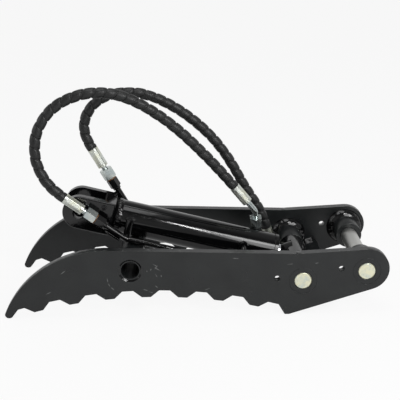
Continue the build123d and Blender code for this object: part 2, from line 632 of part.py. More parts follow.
with BuildPart() as gallery_plug:
    with BuildSketch(CYLINDER.offset(PLUG_SEAT - CLEVIS_WIDTH / 2)):
        with Locations((SLOT_AT + PLUG_AT[0], PLUG_AT[1])):
            Circle(PLUG_DIAMETER / 2)
    extrude(amount=-(PLUG_SEAT + PLUG_HEAD))
    with BuildSketch(CYLINDER.offset(-PLUG_HEAD - CLEVIS_WIDTH / 2)):
        with Locations((SLOT_AT + PLUG_AT[0], PLUG_AT[1])):
            RegularPolygon(PLUG_SOCKET / 2, 6, major_radius=False)
    extrude(amount=PLUG_SEAT / 2, mode=Mode.SUBTRACT)
finish(gallery_plug.part, "gallery_plug")


# Hard lines, their port bosses and supports
def port_boss(side, station, rise):
    """A round boss on the side of the barrel with a seat for the pipe."""
    origin = on_cylinder(station, rise, 0)
    plane = Plane(origin=origin, x_dir=(0, side, 0), z_dir=CYLINDER.x_dir)
    seat = PORT_FACE - PORT_SEAT
    boss = turned(
        plane,
        (BARREL_BORE / 2, PORT_HOLE / 2),
        (BARREL_BORE / 2, PORT_DIAMETER / 2),
        (PORT_FACE, PORT_DIAMETER / 2),
        (PORT_FACE, PIPE_DIAMETER / 2),
        (seat, PIPE_DIAMETER / 2),
        (seat, PORT_HOLE / 2))
    return boss - BARREL_ENVELOPE


finish(port_boss(-1, HEAD_PORT_AT, HEAD_PORT_RISE), "head_port_boss")
finish(port_boss(1, BASE_PORT_AT, 0), "base_port_boss")

HEAD_LINE = line_plane(HEAD_BEND_AT, -HEAD_PIPE_DROP, -PIPE_SIDE, HEAD_LINE_TILT)
BASE_LINE = line_plane(BASE_PORT_AT, 0, PIPE_SIDE, BASE_LINE_TILT)
head_pipe_points = (
    on_cylinder(HEAD_PORT_AT, HEAD_PORT_RISE, PORT_SEAT - PORT_FACE),
    on_cylinder(HEAD_PORT_AT, HEAD_PORT_RISE, -PIPE_SIDE),
    on_cylinder(HEAD_PORT_AT, -HEAD_PIPE_DROP, -PIPE_SIDE),
    HEAD_LINE.origin,
    HEAD_LINE.from_local_coords((HEAD_ADAPTER_AT + ADAPTER_SLEEVE, 0, 0)))
head_pipe_radii = [PORT_BEND, PIPE_BEND, LINE_BEND]
finish(swept_bar(head_pipe_points, head_pipe_radii, PIPE_DIAMETER, PIPE_BORE), "head_line")
HEAD_PIPE_ENVELOPE = swept_bar(head_pipe_points, head_pipe_radii, PIPE_DIAMETER)
base_pipe_points = (
    on_cylinder(BASE_PORT_AT, 0, PORT_FACE - PORT_SEAT),
    BASE_LINE.origin,
    BASE_LINE.from_local_coords((BASE_ADAPTER_AT + ADAPTER_SLEEVE, 0, 0)))
finish(swept_bar(base_pipe_points, [PORT_BEND], PIPE_DIAMETER, PIPE_BORE), "base_line")

for line_name, line, adapter_at, side in (
        ("head", HEAD_LINE, HEAD_ADAPTER_AT, -1), ("base", BASE_LINE, BASE_ADAPTER_AT, 1)):
    bracket_shift = side * (CLEVIS_WIDTH / 2 + BRACKET_WIDTH / 2 - PIPE_SIDE)
    bracket_end = adapter_at - BRACKET_SHORTFALL - BRACKET_WIDTH / 2
    with BuildPart() as bracket:
        with BuildSketch(Plane(
                origin=line.from_local_coords((0, -PIPE_DIAMETER / 2, bracket_shift)),
                x_dir=line.x_dir,
                z_dir=-line.y_dir)):
            with Locations((BRACKET_SETBACK, 0)):
                Rectangle(bracket_end - BRACKET_SETBACK, BRACKET_WIDTH, align=(Align.MIN, Align.CENTER))
            with Locations((bracket_end, 0)):
                Circle(BRACKET_WIDTH / 2)
        extrude(amount=BRACKET_THICKNESS)
    finish(bracket.part, f"{line_name}_bracket")

STANDOFF_SIDE = BARREL_DIAMETER / 2 + STANDOFF_DIAMETER / 2 - STANDOFF_SINK
STANDOFF = Plane(
    origin=on_cylinder(HEAD_BEND_AT, 0, -STANDOFF_SIDE),
    x_dir=CYLINDER.y_dir,
    z_dir=CYLINDER.x_dir)
standoff_bar = rod_between(STANDOFF, STANDOFF_DIAMETER / 2, -HEAD_PIPE_DROP, STANDOFF_RISE)
finish(standoff_bar - BARREL_ENVELOPE - HEAD_PIPE_ENVELOPE, "pipe_standoff")
standoff_weld = turned(
    STANDOFF,
    (STANDOFF_RISE - STANDOFF_WELD, STANDOFF_DIAMETER / 2),
    (STANDOFF_RISE - STANDOFF_WELD, STANDOFF_DIAMETER / 2 + STANDOFF_WELD),
    (STANDOFF_RISE, STANDOFF_DIAMETER / 2 + STANDOFF_WELD),
    (STANDOFF_RISE + STANDOFF_WELD, STANDOFF_DIAMETER / 2 - STANDOFF_WELD),
    (STANDOFF_RISE + STANDOFF_WELD, 0),
    (STANDOFF_RISE, 0),
    (STANDOFF_RISE, STANDOFF_DIAMETER / 2))
finish(standoff_weld - BARREL_ENVELOPE, "standoff_weld")


# Hose fittings
def adapter(line, start):
    """Brazed adapter: a sleeve over the end of the pipe, a hexagon and the thread for the hose nut."""
    hexagon = hex_piece(line, ADAPTER_FLATS, start + ADAPTER_SLEEVE, start + RING_AT, PIPE_BORE)
    sleeve = ring_between(
        line, PIPE_DIAMETER / 2, ADAPTER_SLEEVE_DIAMETER / 2, start, start + ADAPTER_SLEEVE)
    thread = ring_between(
        line, PIPE_BORE / 2, THREAD_DIAMETER / 2, start + RING_AT, start + COLLAR_AT)
    return hexagon + sleeve + thread


def swivel_nut(plane, shoulder_at, opening_at):
    """Swivel nut along a plane's x axis, with its shoulder at one end and its thread open at the other."""
    way = 1 if opening_at > shoulder_at else -1
    body = hex_piece(
        plane, NUT_FLATS, min(shoulder_at, opening_at), max(shoulder_at, opening_at),
        NIPPLE_DIAMETER + 2 * NUT_CLEARANCE)
    thread = rod_between(
        plane, THREAD_DIAMETER / 2 + NUT_CLEARANCE, shoulder_at + way * NUT_SHOULDER, opening_at)
    return body - thread


def ferrule(plane, start):
    """Crimped ferrule along a plane's x axis: round rims and a flattened stretch between them."""
    end = start + FERRULE_LENGTH
    with BuildPart() as crimp:
        with BuildSketch(cross_plane(plane.from_local_coords((start + FERRULE_RIM, 0, 0)), plane.x_dir)):
            Circle(FERRULE_DIAMETER / 2)
            RegularPolygon(FERRULE_FLATS / 2, FERRULE_SIDES, major_radius=False, mode=Mode.INTERSECT)
            Circle(NIPPLE_DIAMETER / 2, mode=Mode.SUBTRACT)
        extrude(amount=FERRULE_LENGTH - 2 * FERRULE_RIM)
    rims = []
    for rim_start, rim_end in ((start, start + FERRULE_RIM), (end - FERRULE_RIM, end)):
        rims.append(ring_between(plane, NIPPLE_DIAMETER / 2, FERRULE_DIAMETER / 2, rim_start, rim_end))
    return crimp.part + rims[0] + rims[1]


seal_rings = []
for side_name, line_name, line, start in (
        ("near", "head", HEAD_LINE, HEAD_ADAPTER_AT), ("far", "base", BASE_LINE, BASE_ADAPTER_AT)):
    finish(adapter(line, start), f"{line_name}_adapter")
    seal_rings.append(ring_between(
        line, THREAD_DIAMETER / 2, RING_DIAMETER / 2, start + RING_AT, start + LINE_NUT_AT))
    finish(
        swivel_nut(line, start + LINE_NUT_AT + NUT_LENGTH, start + LINE_NUT_AT),
        f"line_nut_{side_name}")
    nipple = turned(
        line,
        (start + COLLAR_AT, NIPPLE_BORE / 2),
        (start + COLLAR_AT, THREAD_DIAMETER / 2),
        (start + COLLAR_AT + COLLAR_LENGTH, THREAD_DIAMETER / 2),
        (start + COLLAR_AT + COLLAR_LENGTH, NIPPLE_DIAMETER / 2),
        (start + FERRULE_END, NIPPLE_DIAMETER / 2),
        (start + FERRULE_END, NIPPLE_BORE / 2))
    finish(nipple, f"line_nipple_{side_name}")
    finish(ferrule(line, start + FERRULE_AT), f"line_ferrule_{side_name}")
finish(Compound(children=seal_rings), "seal_rings")


def route_radii(points):
    """Bend radius at each inner point of a route: nearly half the shorter run goes into the bend."""
    radii = []
    for before, here, after in zip(points, points[1:], points[2:]):
        run = min((here - before).length, (after - here).length)
        turn = radians((here - before).get_angle(after - here))
        radii.append(0.45 * run / tan(turn / 2))
    return radii


HOSES = {
    "near": (
        HEAD_LINE, HEAD_ADAPTER_AT, NEAR_EXIT_RUN, NEAR_ROUTE,
        NEAR_ELBOW_AT, NEAR_FERRULE_DIRECTION, NEAR_NUT_DIRECTION),
    "far": (
        BASE_LINE, BASE_ADAPTER_AT, FAR_EXIT_RUN, FAR_ROUTE,
        FAR_ELBOW_AT, FAR_FERRULE_DIRECTION, FAR_NUT_DIRECTION)}
for side_name, (line, start, exit_run, route, elbow_at, ferrule_direction, nut_direction) in HOSES.items():
    elbow_point = Vector(*elbow_at)
    ferrule_way = Vector(*ferrule_direction).normalized()
    nut_way = Vector(*nut_direction).normalized()
    ferrule_start = elbow_point - ferrule_way * (ELBOW_TO_FERRULE + FERRULE_LENGTH)
    ferrule_plane = Plane(origin=ferrule_start, x_dir=ferrule_way, z_dir=ferrule_way.cross(nut_way))
    nut_plane = Plane(
        origin=elbow_point + nut_way * ELBOW_TO_NUT, x_dir=nut_way, z_dir=ferrule_way.cross(nut_way))
    finish(ferrule(ferrule_plane, 0), f"free_ferrule_{side_name}")
    finish(swivel_nut(nut_plane, 0, NUT_LENGTH), f"free_nut_{side_name}")
    collar_end = NUT_SHOULDER + COLLAR_LENGTH
    bent_nipple = swept_bar(
        (ferrule_start, elbow_point, nut_plane.from_local_coords((collar_end, 0, 0))),
        [ELBOW_BEND], NIPPLE_DIAMETER, NIPPLE_BORE)
    collar = ring_between(nut_plane, NIPPLE_DIAMETER / 2, THREAD_DIAMETER / 2, NUT_SHOULDER, collar_end)
    finish(bent_nipple + collar, f"free_nipple_{side_name}")

    points = [line.from_local_coords((start + FERRULE_END, 0, 0))]
    points.append(line.from_local_coords((start + FERRULE_END + exit_run, 0, 0)))
    points += [Vector(*point) for point in route]
    points.append(ferrule_start - ferrule_way * HOSE_ENTRY_RUN)
    points.append(ferrule_start)
    radii = route_radii(points)
    hose = swept_bar(points, radii, HOSE_DIAMETER)
    finish(hose, f"hose_{side_name}")
    runs = [(after - before).length for before, after in zip(points, points[1:])]
    print(side_name, "hose runs", [round(run, 1) for run in runs])
    print(side_name, "hose radii", [round(radius, 1) for radius in radii])
    print(side_name, "hose length by volume", round(hose.volume / (pi * (HOSE_DIAMETER / 2)**2), 1))
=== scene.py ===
"""Looks of a hydraulic excavator thumb, built round its solid model.

Powder-coated plates, a gloss-enamelled cylinder, zinc-plated hose ends and two hoses in spiral guard.
All places are metres in the frame of the solid model: +Z up, +X from the toothed tip to the pivot end.
"""
import json
import math
import random

import bmesh
import bpy
from bpy.props import FloatProperty, FloatVectorProperty, IntProperty, PointerProperty
from mathutils import Matrix, Vector


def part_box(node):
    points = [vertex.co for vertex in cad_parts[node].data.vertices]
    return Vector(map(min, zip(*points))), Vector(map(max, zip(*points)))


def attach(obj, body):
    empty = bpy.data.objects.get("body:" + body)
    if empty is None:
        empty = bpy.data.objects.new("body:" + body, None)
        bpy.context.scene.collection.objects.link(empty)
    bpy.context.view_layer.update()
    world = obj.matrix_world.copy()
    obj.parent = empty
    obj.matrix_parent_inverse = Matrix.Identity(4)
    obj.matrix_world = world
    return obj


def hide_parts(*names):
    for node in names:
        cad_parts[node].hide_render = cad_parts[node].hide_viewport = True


bl_info = {
    "name": "Excavator thumb looks",
    "version": (1, 0, 0),
    "blender": (4, 5, 0),
    "location": "View3D > Sidebar > Thumb",
    "description": "Dresses the solid model of an excavator thumb in coats, platings, welds and hoses",
    "category": "Object",
}

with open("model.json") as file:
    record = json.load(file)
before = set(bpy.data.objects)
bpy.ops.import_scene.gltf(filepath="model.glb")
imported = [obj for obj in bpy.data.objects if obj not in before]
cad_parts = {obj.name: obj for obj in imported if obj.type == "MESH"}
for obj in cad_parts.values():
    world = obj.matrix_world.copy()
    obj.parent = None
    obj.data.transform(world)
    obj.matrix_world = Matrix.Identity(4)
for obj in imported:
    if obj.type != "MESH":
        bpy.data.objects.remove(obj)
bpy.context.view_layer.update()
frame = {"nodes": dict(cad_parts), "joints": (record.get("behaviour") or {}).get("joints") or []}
NODES = frame["nodes"]
JOINTS = {joint["name"]: joint for joint in frame["joints"]}
MM = 0.001

# The cylinder lies along CYLINDER_WAY from the middle of the cylinder pin
CYLINDER_PIN = Vector(JOINTS["cylinder_hinge"]["pos_m"])
CYLINDER_WAY = Vector(JOINTS["cylinder_stroke"]["axis"]).normalized()
ACROSS = Vector((0, 1, 0))

# The barrel as its solid has it, with its far end measured from the pin, and the weld at that end
BARREL_REACH = 270 * MM
BARREL_RADIUS = 25 * MM
BORE_RADIUS = 20 * MM
BASE_WELD_LENGTH = 12 * MM
BASE_WELD_FALL = 2.5 * MM

# Routes of the hoses: the end of the first ferrule, a straight stretch, the loop, and the last ferrule
NEAR_ROUTE = (
    (-0.18836, -0.0375, 0.16121), (-0.20761, -0.0375, 0.17556),
    (-0.225, -0.033, 0.206), (-0.228, -0.031, 0.231), (-0.225, -0.028, 0.253), (-0.215, -0.025, 0.273),
    (-0.200, -0.022, 0.290), (-0.179, -0.019, 0.302),
    (-0.151, -0.016, 0.310), (-0.114, -0.011, 0.308), (-0.073, -0.005, 0.289), (-0.028, 0.001, 0.255),
    (0.010, 0.006, 0.216), (0.0400, 0.0086, 0.18285), (0.05911, 0.0086, 0.15972))
FAR_ROUTE = (
    (-0.15249, 0.0375, 0.21293), (-0.16124, 0.0375, 0.22866), (-0.164, 0.038, 0.248), (-0.159, 0.038, 0.266),
    (-0.148, 0.039, 0.281), (-0.131, 0.040, 0.292), (-0.108, 0.042, 0.297), (-0.078, 0.044, 0.296),
    (-0.044, 0.045, 0.283), (-0.008, 0.046, 0.260), (0.028, 0.047, 0.227), (0.056, 0.046, 0.188),
    (0.080, 0.045, 0.143), (0.1035, 0.045, 0.10867), (0.1125, 0.045, 0.08005))

# Section of the guard's strip: share of its width, and drop below its crown in mm
STRIP_PROFILE = (
    (0.0, 0.75), (0.04, 0.4), (0.14, 0.15), (0.36, 0.0), (0.66, 0.0), (0.87, 0.2), (0.96, 0.5), (1.0, 0.8))

# Scratches on the outer face of the near plate, as (x, z) in mm from end to end
NEAR_SCRATCHES = (
    ((-63, 82), (-55, 77)), ((-61, 77), (-50, 70)), ((-55, 80), (-60, 73)), ((-64, 75), (-66, 71)),
    ((-59, 67), (-56, 61)), ((-51, 65), (-50, 61)), ((-71, 72), (-70, 69)), ((-60, 49), (-55, 44)),
    ((-77, 43), (-69, 40)), ((-69, 39), (-62, 37)), ((-127, 62), (-126, 53)), ((-126, 53), (-123, 47)),
    ((-123, 47), (-117, 42)), ((127, 78), (137, 79)), ((167, 79), (173, 80)), ((-216, 36), (-206, 41)),
    ((49, 89), (61, 88)), ((-193, 67), (-184, 74)), ((11, 40), (19, 43)))

# Lamps, all turned to the middle of the thumb: name, place, and width and height
LAMP_AIM = Vector((0, 0, 0.1))
LAMPS = (
    ("top", (-0.01, -0.14, 1.65), (0.9, 1.08)), ("front", (0.74, -1.04, 1.2), (0.52, 0.32)),
    ("low", (0.72, -1.32, 0.8), (0.5, 0.6)), ("right", (1.05, -1.15, 0.8), (0.3, 0.3)),
    ("small", (0.435, -1.13, 1.17), (0.04, 0.26)), ("side", (-1.4, -0.4, 0.9), (0.7, 0.7)))

# The camera's place, and its angles below the horizon, to the right and about its own line
CAMERA_PLACE = Vector((-0.02958, -1.22298, 0.57853))
CAMERA_DOWN = math.radians(19.6109)
CAMERA_TURN = math.radians(1.7333)
CAMERA_ROLL = math.radians(-0.0955)


def linear(hex_colour):
    """An sRGB hex value as linear red, green, blue and alpha."""
    channels = [int(hex_colour[place:place + 2], 16) / 255 for place in (0, 2, 4)]
    return tuple(((c + 0.055) / 1.055) ** 2.4 if c > 0.04045 else c / 12.92 for c in channels) + (1.0,)


def colour_of(name, description, hex_colour):
    """A colour setting, written as an sRGB hex value."""
    return FloatVectorProperty(
        name=name, description=description, default=linear(hex_colour), size=4, subtype="COLOR", min=0,
        max=1)


class PaintSettings(bpy.types.PropertyGroup):
    """Coats of the plates and of the cylinder."""

    plate_colour: colour_of("Plate coat", "Charcoal powder coat of the plates", "131516")
    plate_dust: colour_of("Plate dust", "The coat where handling has dulled it", "252828")
    # This colour also paints the top light on upward faces and the highlight along upper edges
    scuff_and_highlight_colour: colour_of("Scuffs", "The coat where it is rubbed or scratched", "727473")
    cylinder_colour: colour_of("Cylinder enamel", "Black gloss enamel of the cylinder", "070708")
    peel_size: FloatProperty(
        name="Orange peel", description="Size of the coat's fine waves", default=1.6 * MM, unit="LENGTH")
    edge_round: FloatProperty(
        name="Edge rounding", description="Rounding that the coat gives to cut edges", default=0.7 * MM,
        unit="LENGTH")


class PlatingSettings(bpy.types.PropertyGroup):
    """Platings and bare metals of pins, fittings and inner parts."""

    zinc_colour: colour_of("Bright zinc", "Clear zinc plate of the ferrules", "D2D6D0")
    nut_colour: colour_of("Blue zinc", "Bluish zinc plate of the nuts and nipples", "B7C0C0")
    zinc_tint: colour_of("Zinc tint", "Straw tint that the plating's passivation leaves", "CDCDB8")
    pin_colour: colour_of("Yellow zinc", "Pale yellow zinc plate on the pin ends", "F2F0D4")
    pin_middle: colour_of("Pin middle", "Greyer plating on the pin between the plates", "C6C6C3")
    seal_colour: colour_of("Seal ring", "Orange-brown bonded seal ring", "7E5224")


class WeldSettings(bpy.types.PropertyGroup):
    """Weld beads round the bosses and at the base of the cylinder."""

    boss_crown: FloatProperty(
        name="Boss bead crown", description="Rise of the beads round the bosses", default=1.4 * MM,
        unit="LENGTH")
    boss_ripple: FloatProperty(
        name="Boss bead ripple", description="Length of one ripple round a boss", default=14 * MM,
        unit="LENGTH")
    base_crown: FloatProperty(
        name="Base bead crown", description="Rise of the bead round the barrel", default=2 * MM,
        unit="LENGTH")
    base_ripple: FloatProperty(
        name="Base bead ripple", description="Length of one ripple round the barrel", default=5.5 * MM,
        unit="LENGTH")
    ripple_depth: FloatProperty(
        name="Ripple depth", description="From valley to crest of a ripple", default=0.7 * MM, unit="LENGTH")


class HoseSettings(bpy.types.PropertyGroup):
    """The hoses and the spiral guard wound over them."""

    diameter: FloatProperty(
        name="Guard diameter", description="Outside of the guard", default=16 * MM, unit="LENGTH")
    core_diameter: FloatProperty(
        name="Hose diameter", description="Outside of the hose under the guard", default=12.8 * MM,
        unit="LENGTH")
    pitch: FloatProperty(
        name="Guard pitch", description="From one turn of the guard to the next", default=15.5 * MM,
        unit="LENGTH")
    strip_width: FloatProperty(
        name="Strip width", description="Width of the guard's strip along the hose", default=13.2 * MM,
        unit="LENGTH")
    unevenness: FloatProperty(
        name="Unevenness", description="How far one turn of the guard sinks below the next",
        default=0.35 * MM, unit="LENGTH")
    slip: FloatProperty(
        name="Slip", description="How far a turn of the guard may slide along, as a share of the pitch",
        default=0.1, min=0, max=0.15)
    columns: IntProperty(
        name="Columns", description="Mesh columns round the hose", default=30, min=12)
    guard_colour: colour_of("Guard", "Black polyethylene of the guard", "0D0E0E")
    cover_colour: colour_of("Hose cover", "Black rubber of the hose", "060606")


class StageSettings(bpy.types.PropertyGroup):
    """Floor, sky, lamps and camera."""

    floor_colour: colour_of("Floor", "Pale floor", "E2E2E2")
    floor_size: FloatProperty(
        name="Floor size", description="Side of the floor", default=60.0, unit="LENGTH")
    sky_low: FloatProperty(
        name="Sky at the horizon", description="Brightness of the sky near the horizon", default=0.85)
    sky_high: FloatProperty(
        name="Sky overhead", description="Brightness of the sky overhead", default=0.3)
    sky_front: FloatProperty(
        name="Front sky", description="Share of the sky's brightness in front of the thumb", default=0.4)
    top_power: FloatProperty(
        name="Top lamp", description="Power of the large soft lamp above", default=7.0, unit="POWER")
    front_power: FloatProperty(
        name="Front lamp", description="Power of the bright lamp in front on the right", default=4.6,
        unit="POWER")
    low_power: FloatProperty(
        name="Low lamp", description="Power of the soft lamp below the front one", default=4.0, unit="POWER")
    right_power: FloatProperty(
        name="Right lamp", description="Power of the small lamp far on the right", default=4.2, unit="POWER")
    small_power: FloatProperty(
        name="Small lamp", description="Power of the narrow bright lamp in front", default=2.0, unit="POWER")
    side_power: FloatProperty(
        name="Side lamp", description="Power of the soft lamp on the left", default=3.0, unit="POWER")
    lens: FloatProperty(
        name="Lens", description="Focal length of the camera", default=0.07855, unit="CAMERA")


def add(tree, kind, inputs=None, out=0, **settings):
    """Add a shader node with its settings, and for each input a value or the socket that feeds it. What
    comes back is the output of that name or number. A Mix node's sockets go by number, because they share
    their names: 0 is the share, 6 and 7 are the two colours, and output 2 is the mixed one."""
    node = tree.nodes.new("ShaderNode" + kind)
    for name, value in settings.items():
        setattr(node, name, value)
    for socket, value in (inputs or {}).items():
        if isinstance(value, bpy.types.NodeSocket):
            tree.links.new(value, node.inputs[socket])
        else:
            node.inputs[socket].default_value = value
    return node.outputs[out]


def new_finish(name, roughness, metallic=0.0, ior=1.5):
    """A material, its node tree, its shader with plain values set, and the coordinates for its patterns."""
    material = bpy.data.materials.new(name)
    material.use_nodes = True
    tree = material.node_tree
    shader = tree.nodes["Principled BSDF"]
    for socket, value in (("Roughness", roughness), ("Metallic", metallic), ("IOR", ior)):
        shader.inputs[socket].default_value = value
    return material, tree, shader, add(tree, "TexCoord", out="Object")


def scratches(tree, place, strokes, width, face):
    """Where thin scratches lie on the plate face at that y: each stroke is a long thin ellipse."""
    reach_into_plate = 3 * MM
    total = None
    for (start_x, start_z), (end_x, end_z) in strokes:
        half = math.hypot(end_x - start_x, end_z - start_z) / 2 * MM
        turn = -math.atan2(end_z - start_z, end_x - start_x)
        laid = add(tree, "Mapping", {
            "Vector": place,
            "Location": ((start_x + end_x) / 2 * MM, face, (start_z + end_z) / 2 * MM),
            "Rotation": (0, turn, 0),
            "Scale": (half, reach_into_plate, width)}, vector_type="TEXTURE")
        stroke = add(tree, "TexGradient", {"Vector": laid}, "Fac", gradient_type="SPHERICAL")
        if total is not None:
            stroke = add(tree, "Math", {0: total, 1: stroke}, operation="MAXIMUM")
        total = stroke
    return add(tree, "MapRange", {"Value": total, "From Min": 0.05, "From Max": 0.5})


def powder_coat(paint, name, wear_and_light, strokes=()):
    """Powder-coated laser-cut steel: an even satin charcoal with a fine orange peel, drawn coarser than
    the real 0.6 mm so that it shows, drag lines of the cut on the edges, and a lighter scuff colour on
    upward faces and upper edges, partly rubbed wear and partly painted top light."""
    material, tree, shader, place = new_finish(name, roughness=0.3)
    facing = add(tree, "TexCoord", out="Normal")
    facing_up = add(tree, "SeparateXYZ", {"Vector": facing}, "Z")
    facing_y = add(tree, "SeparateXYZ", {"Vector": facing}, "Y")
    facing_side = add(tree, "Math", {0: facing_y}, operation="ABSOLUTE")

    # Handling leaves dull clouds some 45 mm across
    cloud = add(tree, "TexNoise", {"Vector": place, "Scale": 1 / (45 * MM), "Detail": 4}, "Fac")
    cloud = add(tree, "MapRange", {"Value": cloud, "From Min": 0.35, "From Max": 0.75, "To Max": 0.55})
    colour = add(tree, "Mix", {0: cloud, 6: paint.plate_colour, 7: paint.plate_dust}, 2, data_type="RGBA")

    # Surfaces that face up take the lighter scuff colour in patches of 9 mm: partly rubbed wear, partly
    # painted light from above
    upward = add(tree, "MapRange", {"Value": facing_up, "From Min": 0.55, "From Max": 0.8})
    rubbed_and_top_lit = add(tree, "TexNoise", {
        "Vector": place, "Scale": 1 / (9 * MM), "Detail": 6, "Roughness": 0.7}, "Fac")
    rubbed_and_top_lit = add(tree, "MapRange", {"Value": rubbed_and_top_lit, "From Min": 0.58, "From Max": 0.68, "To Max": 0.75})
    rubbed_and_top_lit = add(tree, "Math", {0: upward, 1: rubbed_and_top_lit}, operation="MULTIPLY")

    # The rounded corners along their top edges take it in breaks every 5 mm or so: chips, and a painted
    # highlight along those edges
    near_top = add(tree, "MapRange", {"Value": facing_up, "From Min": 0.25, "From Max": 0.45})
    near_side = add(tree, "MapRange", {"Value": facing_side, "From Min": 0.25, "From Max": 0.45})
    corner = add(tree, "Math", {0: near_top, 1: near_side}, operation="MULTIPLY")
    chipped_and_edge_lit = add(tree, "TexNoise", {
        "Vector": place, "Scale": 1 / (5 * MM), "Detail": 5, "Roughness": 0.7}, "Fac")
    chipped_and_edge_lit = add(tree, "MapRange", {"Value": chipped_and_edge_lit, "From Min": 0.45, "From Max": 0.6})
    chipped_and_edge_lit = add(tree, "Math", {0: corner, 1: chipped_and_edge_lit}, operation="MULTIPLY")
    # Rubbed wear and chips together with the painted top light and the painted edge highlight
    worn_and_lit = add(tree, "Math", {0: rubbed_and_top_lit, 1: chipped_and_edge_lit}, operation="MAXIMUM")
    worn_and_lit = add(tree, "Math", {0: worn_and_lit, 1: wear_and_light}, operation="MULTIPLY")

    # Scratches, drawn 0.8 mm wide where the real ones are about 0.3 mm, skip over the peel, so they are
    # broken up every 3 mm
    if strokes:
        scratched = scratches(tree, place, strokes, 0.8 * MM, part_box("side_plate_near")[0].y)
        broken = add(tree, "TexNoise", {"Vector": place, "Scale": 1 / (3 * MM), "Detail": 3}, "Fac")
        broken = add(tree, "MapRange", {
            "Value": broken, "From Min": 0.36, "From Max": 0.52, "To Min": 0.2, "To Max": 0.75})
        scratched = add(tree, "Math", {0: scratched, 1: broken}, operation="MULTIPLY")
        worn_and_lit = add(tree, "Math", {0: worn_and_lit, 1: scratched}, operation="MAXIMUM")
    # The scuff colour goes on over wear, scratches, painted top light and painted edge highlights
    colour = add(tree, "Mix", {0: worn_and_lit, 6: colour, 7: paint.scuff_and_highlight_colour}, 2, data_type="RGBA")
    tree.links.new(colour, shader.inputs["Base Color"])

    # The gloss drifts a little over 20 mm
    gloss = add(tree, "TexNoise", {"Vector": place, "Scale": 1 / (20 * MM), "Detail": 5}, "Fac")
    gloss = add(tree, "MapRange", {
        "Value": gloss, "From Min": 0.3, "From Max": 0.7, "To Min": 0.27, "To Max": 0.36})
    tree.links.new(gloss, shader.inputs["Roughness"])

    # Drag lines of the cutting beam run through the plate's thickness on its edges, drawn 1.1 mm apart where
    # the real ones are about 0.3 mm
    peel = add(tree, "TexNoise", {"Vector": place, "Scale": 1 / paint.peel_size}, "Fac")
    peel = add(tree, "Bump", {"Height": peel, "Distance": 0.05 * MM})
    drawn_out = add(tree, "Mapping", {"Vector": place, "Scale": (1, 1 / 60, 1)})
    drag = add(tree, "TexNoise", {"Vector": drawn_out, "Scale": 1 / (1.1 * MM), "Roughness": 0.6}, "Fac")
    on_edge = add(tree, "MapRange", {
        "Value": facing_side, "From Min": 0.5, "From Max": 0.9, "To Min": 1.0, "To Max": 0.0})
    drag = add(tree, "Math", {0: drag, 1: on_edge}, operation="MULTIPLY")
    relief = add(tree, "Bump", {"Height": drag, "Distance": 0.12 * MM, "Normal": peel})
    tree.links.new(relief, shader.inputs["Normal"])
    return material


def gloss_enamel(paint, name, grit=0.0):
    """Sprayed gloss enamel on steel: deep black with sharp reflections that waver a little where the film
    has flowed, and a rougher skin over forged or weld metal, whose grit is the height of that skin."""
    material, tree, shader, place = new_finish(name, roughness=0.14, ior=1.52)

    # Haze comes and goes over 14 mm, and a film of dust over 30 mm
    haze = add(tree, "TexNoise", {"Vector": place, "Scale": 1 / (14 * MM), "Detail": 5}, "Fac")
    haze = add(tree, "MapRange", {
        "Value": haze, "From Min": 0.35, "From Max": 0.8, "To Min": 0.07, "To Max": 0.18})
    tree.links.new(haze, shader.inputs["Roughness"])
    dust = add(tree, "TexNoise", {
        "Vector": place, "Scale": 1 / (30 * MM), "Detail": 6, "Roughness": 0.6}, "Fac")
    dust = add(tree, "MapRange", {"Value": dust, "From Min": 0.5, "From Max": 0.9, "To Max": 0.5})
    colour = add(tree, "Mix", {
        0: dust, 6: paint.cylinder_colour, 7: paint.plate_colour}, 2, data_type="RGBA")
    tree.links.new(colour, shader.inputs["Base Color"])

    # The wet film flows in waves of 12 mm, and the skin of the metal below has lumps of 5 mm
    flow = add(tree, "TexNoise", {"Vector": place, "Scale": 1 / (12 * MM)}, "Fac")
    relief = add(tree, "Bump", {"Height": flow, "Distance": 0.04 * MM})
    if grit > 0:
        skin = add(tree, "TexNoise", {"Vector": place, "Scale": 1 / (5 * MM)}, "Fac")
        relief = add(tree, "Bump", {"Height": skin, "Distance": grit, "Normal": relief})
    tree.links.new(relief, shader.inputs["Normal"])
    return material


def zinc_plate(name, first, second, roughness):
    """Zinc plate on turned or pressed steel: pale metal with soft reflections, fine tool marks, drawn
    coarser than the real 0.1 mm, and faint tints where the passivation film is thicker."""
    material, tree, shader, place = new_finish(name, roughness, metallic=1.0)
    tint = add(tree, "TexNoise", {"Vector": place, "Scale": 1 / (14 * MM)}, "Fac")
    tint = add(tree, "MapRange", {"Value": tint, "From Min": 0.4, "From Max": 0.7})
    colour = add(tree, "Mix", {0: tint, 6: first, 7: second}, 2, data_type="RGBA")
    tree.links.new(colour, shader.inputs["Base Color"])

    # Tool marks, 0.7 mm apart
    marks = add(tree, "TexNoise", {
        "Vector": place, "Scale": 1 / (0.7 * MM), "Detail": 3, "Roughness": 0.6}, "Fac")
    gloss = add(tree, "MapRange", {
        "Value": marks, "From Min": 0.3, "From Max": 0.7, "To Min": roughness - 0.04,
        "To Max": roughness + 0.06})
    tree.links.new(gloss, shader.inputs["Roughness"])
    relief = add(tree, "Bump", {"Height": marks, "Distance": 0.004 * MM})
    tree.links.new(relief, shader.inputs["Normal"])
    return material


